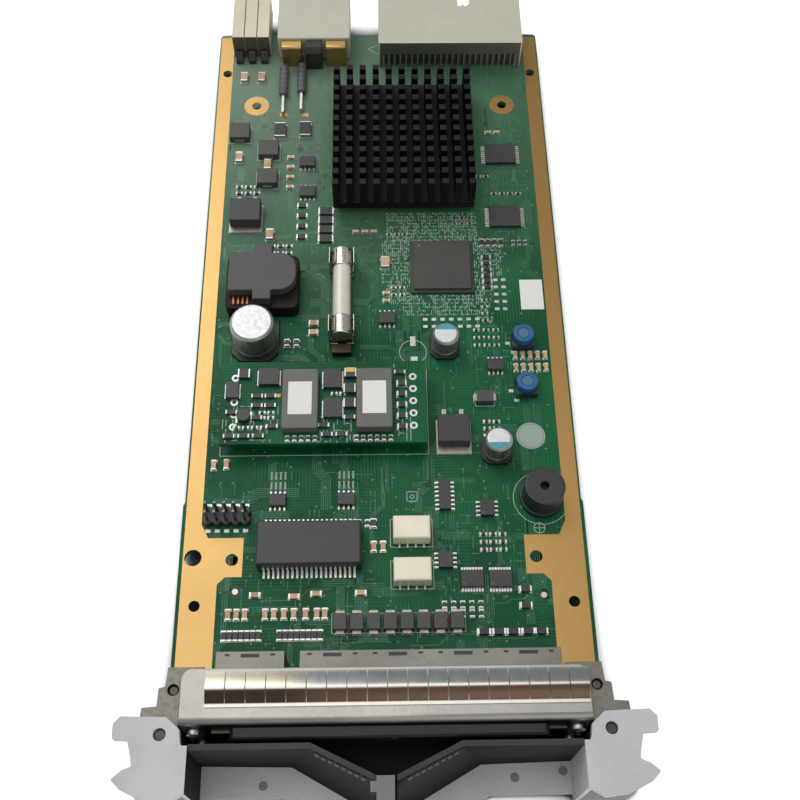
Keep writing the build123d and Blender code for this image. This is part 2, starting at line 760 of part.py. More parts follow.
with BuildPart() as module_pins:
    for side in (-1, 1):
        pin_x = module_place[0] + side * (module_size[0] / 2 - pin_inset - 0.4)
        places = [(pin_x, module_place[1] + (row - 2) * module_pin_pitch) for row in range(module_pin_rows)]
        with Locations(*[spot(place) for place in places]):
            Cylinder(0.6, module_lift, align=ON_TOP)
save(module_pins.part, "module_pins")

brick_places = [(-23.0, 146.7), (-2.3, 146.6)]
with BuildPart() as module_bricks:
    blocks(brick_places, brick_size, module_top)
    fillet(module_bricks.edges().filter_by(Axis.Z), 0.8)
save(module_bricks.part, "module_bricks")

module_chip_list = [
    ((5.2, 6.0, 1.5), [(-14.1, 139.4), (-14.0, 148.7)]),
    ((5.8, 5.2, 1.4), [(-32.1, 138.6)]),
    ((3.6, 5.0, 1.4), [(-42.2, 142.8)]),
    ((2.6, 3.0, 1.2), [(-39.2, 137.4), (-9.1, 137.4), (-9.3, 142.4), (-9.3, 147.0)]),
    ((2.4, 1.3, 0.9), [(-42.2, 149.5), (-35.2, 144.5), (-31.5, 144.5), (-35.2, 147.5), (-31.5, 147.5),
                       (-42.5, 156.9), (-38.5, 156.9), (-34.5, 156.9), (-30.8, 154.0), (-15.5, 156.6),
                       (-11.5, 156.6), (-16.5, 153.8), (-9.3, 151.4), (4.9, 137.2), (-35.2, 151.3)]),
]
with BuildPart() as module_chips:
    for size, places in module_chip_list:
        blocks(places, size, module_top)
    with Locations(spot((-38.7, 150.9), module_top)):
        Cylinder(1.9, 2.0, align=ON_TOP)
save(module_chips.part, "module_chips")

# Line transformer with a row of gull-wing leads along each side
lead_width = 0.6


def gull_leads(place, count, pitch, body_depth, reach, body_height, turn=0.0, width=lead_width):
    """Two rows of bent leads beside a body, each a foot and a riser in one solid."""
    riser = body_height * 0.5
    foot = 0.2 + width * 0.3
    for side in (-1, 1):
        across = Location((0, 0, 0), (0, 0, turn + (0 if side < 0 else 180)))
        with Locations(spot(place) * across):
            with Locations((0, -body_depth / 2, 0)):
                with GridLocations(pitch, 1, count, 1):
                    Box(width, reach, foot, align=(Align.CENTER, Align.MAX, Align.MIN))
                    Box(width, foot, riser, align=(Align.CENTER, Align.MAX, Align.MIN))


with BuildPart() as line_transformer:
    blocks([transformer_place], transformer_size, 0.3)
    fillet(line_transformer.edges().group_by(Axis.Z)[-1], 0.6)
save(line_transformer.part, "line_transformer")

with BuildPart() as transformer_legs:
    gull_leads(transformer_place, transformer_leads, lead_pitch, transformer_size[1], 2.2, transformer_size[2])
    for place in relay_places:
        gull_leads(place, relay_leads, relay_pitch, relay_size[1], 1.0, relay_size[2], width=0.5)
save(transformer_legs.part, "transformer_and_relay_leads")

# Signal relays, lying low with three visible leads a side
with BuildPart() as relays:
    blocks(relay_places, relay_size, 0.2)
    chamfer(relays.edges().group_by(Axis.Z)[-1], 0.4)
save(relays.part, "relays")

# Buzzer: a wide lower ring, a round can and the sound hole
with BuildPart() as buzzer:
    with Locations(spot(buzzer_place)):
        Cylinder(buzzer_radius + 0.4, 2.0, align=ON_TOP)
        Cylinder(buzzer_radius, buzzer_height, align=ON_TOP)
    fillet(buzzer.edges().group_by(Axis.Z)[-1], 0.5)
    with Locations(spot(buzzer_place, buzzer_height)):
        Hole(1.2, depth=3.0)
save(buzzer.part, "buzzer")

# Two-row pin header
header_block_height = 2.5
with BuildPart() as header_block:
    with BuildSketch(Plane.XY.offset(board_top)):
        with Locations((header_place[0], board_rear - header_place[1])):
            with GridLocations(header_pitch, header_pitch, header_columns, 2):
                RegularPolygon(header_pitch / 2 + 0.16, 8, major_radius=True, rotation=22.5)
            Rectangle(header_columns * header_pitch - 1.0, header_pitch * 2 - 1.0)
    extrude(amount=header_block_height)
save(header_block.part, "header_block")

with BuildPart() as header_pins:
    with Locations(spot(header_place, header_block_height)):
        with GridLocations(header_pitch, header_pitch, header_columns, 2):
            Box(0.64, 0.64, 6.0, align=ON_TOP)
save(header_pins.part, "header_pins")

# Push buttons: square bases with a round well, and a cap that slides in each
well_depth = 1.4
with BuildPart() as button_bases:
    blocks(button_places, (button_base, button_base, button_base_height))
    with Locations(*[spot(place, button_base_height) for place in button_places]):
        Hole(button_radius + button_clearance, depth=well_depth)
save(button_bases.part, "button_bases")

cap_floor = button_base_height - well_depth + button_travel + 0.15
for place, label in zip(button_places, ("rear_button_cap", "front_button_cap")):
    with BuildPart() as button_cap:
        with Locations(spot(place, cap_floor)):
            Cylinder(button_radius, button_height - cap_floor, align=ON_TOP)
        fillet(button_cap.edges().group_by(Axis.Z)[-1], 0.4)
        with Locations(spot(place, button_height)):
            Hole(1.7, depth=0.5)
    save(button_cap.part, label)

# Power transistors: moulded bodies and the metal tab that each sits on
transistor_list = [((-42.2, 77.2), 9.6, 8.4), ((20.0, 153.4), 9.0, 8.6)]
with BuildPart() as power_transistors:
    for place, width, depth in transistor_list:
        with Locations(spot((place[0], place[1]), 0.5)):
            Box(width, depth, 3.6, align=ON_TOP)
save(power_transistors.part, "power_transistors")

# Small moulded chips with gull-wing leads. Each row gives place, body size, leads a side and turn.
small_chip_list = [
    ((-23.4, 56.3), (4.9, 3.9), 4, 0), ((-23.1, 68.3), (4.9, 3.9), 4, 0), ((1.6, 115.4), (4.9, 3.9), 4, 0),
    ((16.8, 172.5), (8.6, 3.2), 7, 90), ((28.3, 176.4), (4.6, 3.9), 4, 90),
    ((16.4, 191.1), (4.6, 3.9), 4, 90), ((-29.1, 173.5), (4.6, 3.5), 4, 0),
    ((-10.3, 173.4), (4.8, 3.5), 4, 0), ((23.3, 196.5), (6.0, 4.6), 8, 0),
    ((30.8, 196.6), (6.0, 4.6), 8, 0), ((33.1, 131.7), (4.6, 3.6), 4, 0),
]
with BuildPart() as small_chips:
    for place, size, count, turn in small_chip_list:
        with Locations(spot(place, 0.1) * Location((0, 0, 0), (0, 0, turn))):
            Box(size[0], size[1], 1.5, align=ON_TOP)
save(small_chips.part, "small_chips")

with BuildPart() as small_chip_leads:
    for place, size, count, turn in small_chip_list:
        pitch = (size[0] - 0.8) / (count - 1)
        with Locations(spot(place) * Location((0, 0, 0), (0, 0, turn))):
            with GridLocations(pitch, size[1] + 1.0, count, 2):
                Box(0.4, 1.0, 0.5, align=ON_TOP)
    for place in memory_places:
        with Locations(spot(place)):
            with GridLocations(memory_size[0] + 1.2, 0.8, 2, 9):
                Box(1.2, 0.4, 0.4, align=ON_TOP)
save(small_chip_leads.part, "small_chip_leads")

# Block diodes: the row of eight behind the jacks, and the others near the supply
diode_row = [(-11.7 + 4.36 * index, 207.9) for index in range(8)]
turned_diodes = [(29.4, 142.5)]
block_places = [(-45.6, 44.4), (-36.0, 51.6), (-36.0, 63.0)]
with BuildPart() as diodes:
    blocks(diode_row, (3.5, 4.4, 2.2), 0.1)
    blocks(turned_diodes, (4.6, 3.7, 2.2), 0.1)
    blocks(block_places, (6.4, 6.0, 2.6), 0.1)
save(diodes.part, "diodes")

with BuildPart() as metal_tabs:
    for place, width, depth in transistor_list:
        with Locations(spot((place[0], place[1] + 1.2))):
            Box(width + 0.6, depth + 2.0, 0.5, align=ON_TOP)
        with Locations(spot((place[0], place[1] - depth / 2), 0.0)):
            with GridLocations(5.0, 1, 2, 1):
                Box(1.0, 3.2, 0.45, align=(Align.CENTER, Align.MIN, Align.MIN))
    for x, distance in diode_row:
        with Locations(spot((x, distance))):
            with GridLocations(1, 5.3, 1, 2):
                Box(2.2, 0.9, 1.2, align=ON_TOP)
    for x, distance in turned_diodes:
        with Locations(spot((x, distance))):
            with GridLocations(5.5, 1, 2, 1):
                Box(0.9, 2.2, 1.2, align=ON_TOP)
    for x, distance in block_places:
        with Locations(spot((x, distance))):
            with GridLocations(1, 6.6, 1, 2):
                Box(3.0, 0.6, 1.4, align=ON_TOP)
save(metal_tabs.part, "metal_tabs")

# Chip capacitors and resistors. Each row gives the body size, how high it is and its places.
tan_rows = [
    ((1.3, 2.2, 0.9), [(x, 205.3) for x in (-41.0, -38.8, -36.6, -31.3, -29.0, -26.4, -23.8, -20.7, -17.8,
                                            -15.7)]),
    ((2.0, 1.3, 0.9), [(-34.2, 200.1), (-23.9, 200.6), (-18.1, 199.9), (-6.3, 199.8)]),
    ((1.3, 2.2, 0.9), [(-47.2, 162.6), (-43.7, 162.4), (-2.8, 187.0), (-0.3, 187.0)]),
    ((1.1, 1.8, 0.8), [(39.1 + 2.2 * column, 128.3 + 4.1 * row) for row in range(2) for column in range(5)]),
    ((2.2, 3.0, 1.4), [(-36.2, 57.2), (-34.5, 84.7), (-45.4, 20.0), (-39.6, 20.0), (-45.5, 54.2)]),
    ((2.6, 3.0, 1.6), [(1.2, 95.5)]),
]
dark_rows = [
    ((3.9, 2.6, 1.0), [(-17.1, 75.8 + 3.5 * row) for row in range(4)]),
    ((2.4, 1.5, 0.8), [(-24.6, 73.4 + 4.0 * row) for row in range(4)]),
    ((3.6, 5.0, 1.6), [(-32.6, 43.2), (-24.4, 42.8)]),
    ((1.2, 2.0, 0.6), [(-41.8 + 1.5 * index, 210.9) for index in range(7)]),
    ((1.2, 2.0, 0.6), [(-27.4 + 1.5 * index, 210.9) for index in range(8)]),
    ((2.6, 1.5, 1.1), [(x, 210.7) for x in (25.7, 29.6, 33.3, 37.2, 40.6)]),
    ((2.4, 1.6, 1.1), [(37.2, 199.4), (37.1, 203.8)]),
    ((1.2, 2.0, 0.6), [(31.2 + 2.0 * index, 88.0) for index in range(4)]),
    ((2.0, 1.2, 0.6), [(32.3, 93.5 + 2.2 * index) for index in range(6)]),
]


def terminal_blocks(rows):
    """Plated ends at both sides of each chip, along its longer side."""
    for size, places in rows:
        along_x = size[0] > size[1]
        end = 0.35
        gap_x = size[0] + end if along_x else 1
        gap_y = 1 if along_x else size[1] + end
        block = (end, size[1], size[2]) if along_x else (size[0], end, size[2])
        with Locations(*[spot(place) for place in places]):
            with GridLocations(gap_x, gap_y, 2 if along_x else 1, 1 if along_x else 2):
                Box(*block, align=ON_TOP)


with BuildPart() as chip_capacitors:
    for size, places in tan_rows:
        blocks(places, size)
save(chip_capacitors.part, "chip_capacitors")

with BuildPart() as chip_resistors:
    for size, places in dark_rows:
        blocks(places, size)
save(chip_resistors.part, "chip_resistors")

with BuildPart() as chip_terminals:
    terminal_blocks(tan_rows)
    terminal_blocks(dark_rows)
save(chip_terminals.part, "chip_terminals")

# Two ribbed round resistors lying on the board, and their bent wires
axial_places = [(-32.0, 22.4), (-26.0, 21.2)]
axial_radius = 1.5
axial_length = 12.6
axial_ribs = 6
wire_radius = 0.4

with BuildPart() as axial_resistors:
    for x, distance in axial_places:
        rib = axial_length / axial_ribs
        with BuildSketch(Plane(origin=(x, board_rear - distance - axial_length / 2, board_top),
                               x_dir=(0, 1, 0), z_dir=(1, 0, 0))):
            with BuildLine():
                points = [(0, axial_radius)]
                for index in range(axial_ribs):
                    points += [(rib * index, 2 * axial_radius - 0.35), (rib * (index + 0.25), 2 * axial_radius),
                               (rib * (index + 0.75), 2 * axial_radius)]
                points += [(axial_length, 2 * axial_radius - 0.35), (axial_length, axial_radius)]
                Polyline(*points, close=True)
            make_face()
        revolve(axis=Axis((x, board_rear - distance, board_top + axial_radius), (0, 1, 0)))
save(axial_resistors.part, "axial_resistors")

with BuildPart() as axial_wires:
    for x, distance in axial_places:
        near = board_rear - distance - axial_length / 2
        with Locations((x, near, board_top + axial_radius)):
            Box(2 * wire_radius, 7.4, 2 * wire_radius, align=(Align.CENTER, Align.MAX, Align.CENTER))
        with Locations((x, near - 7.4, board_top)):
            Box(2 * wire_radius, 2 * wire_radius, axial_radius + wire_radius,
                align=(Align.CENTER, Align.MIN, Align.MIN))
save(axial_wires.part, "axial_wires")

# Blank paper stickers
with BuildPart() as stickers:
    blocks([(45.5, 107.0)], (6.9, 10.6, 0.1))
    with Locations(spot((41.9, 154.4))):
        Cylinder(4.1, 0.1, align=ON_TOP)
    blocks(brick_places, (6.6, 10.2, 0.1), module_top + brick_size[2])
save(stickers.part, "stickers")
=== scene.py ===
import json

import bmesh
import bpy
import numpy as np
from bpy.props import FloatProperty, FloatVectorProperty, IntProperty, PointerProperty
from bpy.types import Operator, Panel, PropertyGroup
from mathutils import Matrix, Vector

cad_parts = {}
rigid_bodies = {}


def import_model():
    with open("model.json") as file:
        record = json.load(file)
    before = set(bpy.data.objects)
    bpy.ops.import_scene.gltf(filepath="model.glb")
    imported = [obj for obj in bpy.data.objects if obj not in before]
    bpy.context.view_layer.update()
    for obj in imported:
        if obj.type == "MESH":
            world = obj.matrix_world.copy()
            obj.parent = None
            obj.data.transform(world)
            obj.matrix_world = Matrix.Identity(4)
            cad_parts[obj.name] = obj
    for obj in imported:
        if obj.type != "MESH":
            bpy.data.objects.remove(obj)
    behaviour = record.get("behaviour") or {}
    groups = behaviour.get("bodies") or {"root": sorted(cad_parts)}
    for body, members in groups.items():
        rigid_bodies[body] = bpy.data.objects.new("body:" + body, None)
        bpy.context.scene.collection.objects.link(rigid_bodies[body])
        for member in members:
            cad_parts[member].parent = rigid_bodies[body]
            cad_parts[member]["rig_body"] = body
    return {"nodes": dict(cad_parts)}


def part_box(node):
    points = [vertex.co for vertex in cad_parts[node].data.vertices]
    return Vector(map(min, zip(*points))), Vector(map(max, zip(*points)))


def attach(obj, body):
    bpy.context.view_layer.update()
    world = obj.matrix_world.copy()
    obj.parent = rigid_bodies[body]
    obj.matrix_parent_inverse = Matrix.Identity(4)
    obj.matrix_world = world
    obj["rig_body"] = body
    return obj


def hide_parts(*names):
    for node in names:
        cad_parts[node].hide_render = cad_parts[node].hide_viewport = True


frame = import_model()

bl_info = {
    "name": "Interface card",
    "version": (1, 0),
    "blender": (4, 5, 0),
    "location": "View3D > Sidebar > Card",
    "description": "Finishes a plug-in interface card: board, parts, panel and levers",
    "category": "Object",
}

MM = 0.001


def span(node):
    """The lowest and highest corner of a CAD node, in millimetres."""
    low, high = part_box(node)
    return np.array(low) / MM, np.array(high) / MM


# Places that the frame gives, in millimetres
REAR, TOP = span("main_board")[1][1:]
MODULE_LOW, MODULE_HIGH = span("module_board")
PIVOT_Y = sum(span("left_pivot_pin"))[1] / 2
HOLE_X = 40.8
RING_DISTANCE = 32.0

# How far a thin layer starts below the surface that it lies on
SUNK = 0.01


# Settings

def metres(name, description, default):
    return FloatProperty(name=name, description=description, default=default, unit="LENGTH")


def tint(name, description, default):
    return FloatVectorProperty(name=name, description=description, size=3, subtype="COLOR",
                               default=default, min=0, max=1)


class CardSizes(PropertyGroup):
    """Sizes of the details that the frame doesn't hold."""
    track_width: metres("Track width", "Width of a copper track under the mask", 0.00022)
    track_height: metres("Track height", "How far a track stands out of the board", 0.00003)
    route_count: IntProperty(name="Routes", description="Number of bundles of tracks", default=230, min=1)
    via_count: IntProperty(
        name="Vias", description="Number of plated holes between the parts", default=620, min=1)
    silk_width: metres("Print line", "Width of a printed outline", 0.00017)
    moulded_edge: metres("Moulded edge", "Radius of a moulded part's edges", 0.0003)
    cast_edge: metres("Cast edge", "Radius of a cast lever's edges", 0.0005)
    claw_corner: metres("Claw corner", "Radius of a claw's upright corners", 0.0013)
    finger_count: IntProperty(
        name="Fingers", description="Number of fingers of the strip on the panel", default=19, min=2)
    finger_gap: metres("Finger gap", "Slit between two fingers", 0.00022)


class CardColours(PropertyGroup):
    """Colours of the main finishes."""
    mask: tint("Solder mask", "Green of the bare board", (0.0025, 0.066, 0.022))
    track: tint("Track", "Lighter green over the copper", (0.010, 0.125, 0.048))
    gold: tint("Gold plating", "Strips, rings and contacts", (0.49, 0.31, 0.118))
    cast: tint("Cast grey", "Paint of the levers", (0.51, 0.51, 0.515))
    connector: tint("Connector grey", "Plastic of the rear connectors", (0.49, 0.485, 0.395))
    relay: tint("Relay cream", "Plastic of the relays", (0.80, 0.75, 0.58))
    button: tint("Button blue", "Plastic of the button caps", (0.008, 0.105, 0.27))
    paper: tint("Label paper", "Blank stickers", (0.74, 0.74, 0.72))
    floor: tint("Floor", "Surface under the card", (0.82, 0.82, 0.82))


# Surfaces as whole arrays. A surface is its points in millimetres and a list of face arrays.

CUBE = np.array([[x, y, z] for z in (0, 1) for y in (-0.5, 0.5) for x in (-0.5, 0.5)])
CUBE_FACES = np.array([[0, 2, 3, 1], [4, 5, 7, 6], [0, 1, 5, 4], [2, 6, 7, 3], [0, 4, 6, 2], [1, 3, 7, 5]])


def at(x, y, z):
    """Rows of three numbers, each of them one number for all rows or a whole array."""
    return np.stack(np.broadcast_arrays(x, y, z), -1)


def repeated(one, faces, places):
    """One shape at many places: its points plus each place, and its face numbers moved on by one shape."""
    places = np.atleast_2d(np.asarray(places, float))
    points = (one[None] + places[:, None]).reshape(-1, 3)
    steps = len(one) * np.arange(len(places))[:, None, None]
    return points, [(group[None] + steps).reshape(-1, group.shape[1]) for group in faces]


def joined(*surfaces):
    """Several surfaces as one: their points in a row, and face numbers moved on by the points before."""
    starts = np.cumsum([0] + [len(points) for points, _ in surfaces])
    faces = [group + start for (_, groups), start in zip(surfaces, starts) for group in groups]
    return np.concatenate([points for points, _ in surfaces]), faces


def blocks(bases, sizes, turns=0.0):
    """Boxes that stand on their places: the unit cube times each size, turned about Z, plus the place."""
    bases = np.atleast_2d(np.asarray(bases, float))
    sizes = np.broadcast_to(np.asarray(sizes, float), bases.shape)
    corners = CUBE[None] * sizes[:, None]
    angle = np.broadcast_to(np.asarray(turns, float), (len(bases),))[:, None]
    x = corners[..., 0] * np.cos(angle) - corners[..., 1] * np.sin(angle)
    y = corners[..., 0] * np.sin(angle) + corners[..., 1] * np.cos(angle)
    points = np.stack([x, y, corners[..., 2]], -1) + bases[:, None]
    faces = CUBE_FACES[None] + 8 * np.arange(len(bases))[:, None, None]
    return points.reshape(-1, 3), [faces.reshape(-1, 4)]


def turned(places, profile, sides=24):
    """Round solids: profile point (r, z) at angle t is (r cos t, r sin t, z), and the ends close in fans."""
    profile = np.array(profile, float)
    inner = profile[1:-1]
    angle = np.linspace(0, 2 * np.pi, sides, endpoint=False)
    x = inner[:, :1] * np.cos(angle)
    y = inner[:, :1] * np.sin(angle)
    z = np.broadcast_to(inner[:, 1:], x.shape)
    body = np.stack([x, y, z], -1).reshape(-1, 3)
    one = np.concatenate([body, [[0, 0, profile[0, 1]], [0, 0, profile[-1, 1]]]])
    index = np.arange(len(body)).reshape(len(inner), sides)
    after = np.roll(index, -1, axis=1)
    quads = np.stack([index[:-1], after[:-1], after[1:], index[1:]], -1).reshape(-1, 4)
    foot = np.stack([after[0], index[0], np.full(sides, len(body))], -1)
    head = np.stack([index[-1], after[-1], np.full(sides, len(body) + 1)], -1)
    return repeated(one, [quads, np.concatenate([foot, head])], places)


def discs(places, radius, height, sides=24):
    """Flat round solids: a turned profile with one step."""
    return turned(places, [(0, 0), (radius, 0), (radius, height), (0, height)], sides)


def rings(places, inner, outer, height, sides=32):
    """Flat rings: a rectangle (r, z) carried round the circle, with its last side joined to its first."""
    loop = np.array([(inner, 0), (outer, 0), (outer, height), (inner, height)], float)
    angle = np.linspace(0, 2 * np.pi, sides, endpoint=False)
    x = loop[:, :1] * np.cos(angle)
    y = loop[:, :1] * np.sin(angle)
    one = np.stack([x, y, np.broadcast_to(loop[:, 1:], x.shape)], -1).reshape(-1, 3)
    index = np.arange(4 * sides).reshape(4, sides)
    after = np.roll(index, -1, axis=1)
    above = np.roll(index, -1, axis=0)
    corner = np.roll(after, -1, axis=0)
    quads = np.stack([index, after, corner, above], -1).reshape(-1, 4)
    return repeated(one, [quads], places)


def sheets(upper, lower):
    """Closed sheets between two stacks of point grids: both faces, and a wall round their four edges."""
    count, rows, columns = upper.shape[:3]
    size = rows * columns
    points = np.concatenate([upper.reshape(count, -1, 3), lower.reshape(count, -1, 3)], 1)
    grid = np.arange(size).reshape(rows, columns)
    top = np.stack([grid[:-1, :-1], grid[:-1, 1:], grid[1:, 1:], grid[1:, :-1]], -1).reshape(-1, 4)
    border = np.concatenate([grid[0, :-1], grid[:-1, -1], grid[-1, :0:-1], grid[:0:-1, 0]])
    after = np.roll(border, -1)
    walls = np.stack([border + size, after + size, after, border], -1)
    faces = np.concatenate([top, top[:, ::-1] + size, walls])
    steps = 2 * size * np.arange(count)[:, None, None]
    return points.reshape(-1, 3), [(faces[None] + steps).reshape(-1, 4)]


def tracks(starts, ends, width, base, height):
    """Straight runs: a box from each start to its end, as long as their distance plus one width."""
    starts, ends = np.asarray(starts, float), np.asarray(ends, float)
    middle = (starts + ends) / 2
    along = ends - starts
    length = np.hypot(along[:, 0], along[:, 1])
    return blocks(at(middle[:, 0], middle[:, 1], base), at(length + width, width, height),
                  np.arctan2(along[:, 1], along[:, 0]))


def outlines(lows, highs, width, base, height):
    """Printed frames: four straight runs along the sides of each rectangle."""
    lows, highs = np.asarray(lows, float)[:, :2], np.asarray(highs, float)[:, :2]
    corners = np.stack([lows, np.stack([highs[:, 0], lows[:, 1]], -1), highs,
                        np.stack([lows[:, 0], highs[:, 1]], -1)], 1)
    after = np.roll(corners, -1, axis=1)
    return tracks(corners.reshape(-1, 2), after.reshape(-1, 2), width, base, height)


def spots(places, base=None):
    """Places given as x and the distance from the board's rear edge, as points at the board's top."""
    places = np.atleast_2d(np.asarray(places, float))
    return at(places[:, 0], REAR - places[:, 1], TOP if base is None else base)


def solids(node):
    """The box round each separate solid of a CAD node. Corners at one place share a label, and every
    triangle hands its lowest label to its corners until none changes."""
    mesh = frame["nodes"][node].data
    points = np.zeros(len(mesh.vertices) * 3)
    mesh.vertices.foreach_get("co", points)
    points = points.reshape(-1, 3) / MM
    corners = np.zeros(len(mesh.loops), int)
    mesh.loops.foreach_get("vertex_index", corners)
    _, same = np.unique(points.round(3), axis=0, return_inverse=True)
    same = same.reshape(-1)
    triangles = same[corners.reshape(-1, 3)]
    label = np.arange(same.max() + 1)
    while True:
        lower = label.copy()
        np.minimum.at(lower, triangles, label[triangles].min(1)[:, None])
        if np.array_equal(lower, label):
            break
        label = lower
    names, group = np.unique(label[same], return_inverse=True)
    group = group.reshape(-1)
    low = np.full((len(names), 3), np.inf)
    high = np.full((len(names), 3), -np.inf)
    np.minimum.at(low, group, points)
    np.maximum.at(high, group, points)
    return low, high


# Objects

def piece(name, surface, material, body="root", edge=0.0, smooth=False):
    """A new object from a surface in millimetres, with its faces turned outwards."""
    points, groups = surface
    mesh = bpy.data.meshes.new(name)
    mesh.from_pydata((points * MM).tolist(), [], [face for group in groups for face in group.tolist()])
    form = bmesh.new()
    form.from_mesh(mesh)
    bmesh.ops.recalc_face_normals(form, faces=form.faces)
    form.to_mesh(mesh)
    form.free()
    obj = bpy.data.objects.new(name, mesh)
    bpy.context.scene.collection.objects.link(obj)
    finish_edges(obj, edge, smooth)
    obj.data.materials.append(material)
    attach(obj, body)
    return obj


def finish_edges(obj, edge, smooth):
    """Rounds the sharp edges and shades the rest smooth where asked."""
    if smooth:
        obj.data.shade_smooth()
        obj.data.set_sharp_from_angle(angle=np.radians(40))
    if edge:
        bevel = obj.modifiers.new("edges", "BEVEL")
        bevel.width = edge
        bevel.segments = 2
        bevel.limit_method = "ANGLE"
        bevel.angle_limit = np.radians(35)
        bevel.use_clamp_overlap = True
        bevel.harden_normals = False


def round_uprights(form, radius, beyond):
    """Rounds the upright corners of a form that lie further out than a given x, one place after another."""
    def uprights():
        return [edge for edge in form.edges if abs(edge.verts[0].co.x) > beyond
                and (edge.verts[0].co - edge.verts[1].co).to_2d().length < 1e-6
                and edge.calc_face_angle(0) > 0.4]
    places = {tuple(round(value, 5) for value in edge.verts[0].co.to_2d()) for edge in uprights()}
    for place in sorted(places):
        here = [edge for edge in uprights() if (edge.verts[0].co.to_2d() - Vector(place)).length < 2e-5]
        bmesh.ops.bevel(form, geom=here, offset=radius, segments=4, profile=0.5, affect="EDGES",
                        clamp_overlap=True)


def softened(node, materials, edge, regions=None, corner=0.0):
    """A merged copy of a CAD node with rounded edges, which stands for that node. regions gives a material
    number for each face from its middle in millimetres, and corner rounds the outer upright corners."""
    source = frame["nodes"][node]
    form = bmesh.new()
    form.from_mesh(source.data)
    bmesh.ops.remove_doubles(form, verts=form.verts, dist=2e-6)
    bmesh.ops.dissolve_limit(form, angle_limit=np.radians(1), verts=form.verts, edges=form.edges)
    if corner:
        round_uprights(form, corner, 0.0478)
    mesh = bpy.data.meshes.new(node + "_shape")
    form.to_mesh(mesh)
    form.free()
    obj = bpy.data.objects.new(node + "_shape", mesh)
    bpy.context.scene.collection.objects.link(obj)
    mesh.materials.clear()
    for material in materials:
        mesh.materials.append(material)
    if regions:
        middles = np.zeros(len(mesh.polygons) * 3)
        mesh.polygons.foreach_get("center", middles)
        normals = np.zeros(len(mesh.polygons) * 3)
        mesh.polygons.foreach_get("normal", normals)
        numbers = regions(middles.reshape(-1, 3) / MM, normals.reshape(-1, 3))
        mesh.polygons.foreach_set("material_index", np.asarray(numbers, np.int32))
    finish_edges(obj, edge, False)
    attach(obj, source["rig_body"])
    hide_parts(node)
    return obj


def dress(material, *nodes):
    """Gives CAD nodes a material in place of their own."""
    for node in nodes:
        slots = frame["nodes"][node].data.materials
        slots.clear()
        slots.append(material)


def faces_up(middles, normals):
    """1 for a face that looks up, and 0 for the rest."""
    return (normals[:, 2] > 0.9).astype(int)


def faces_front(middles, normals):
    """1 for a face that looks to the card's front, and 0 for the rest."""
    return (normals[:, 1] < -0.9).astype(int)


# Finishes

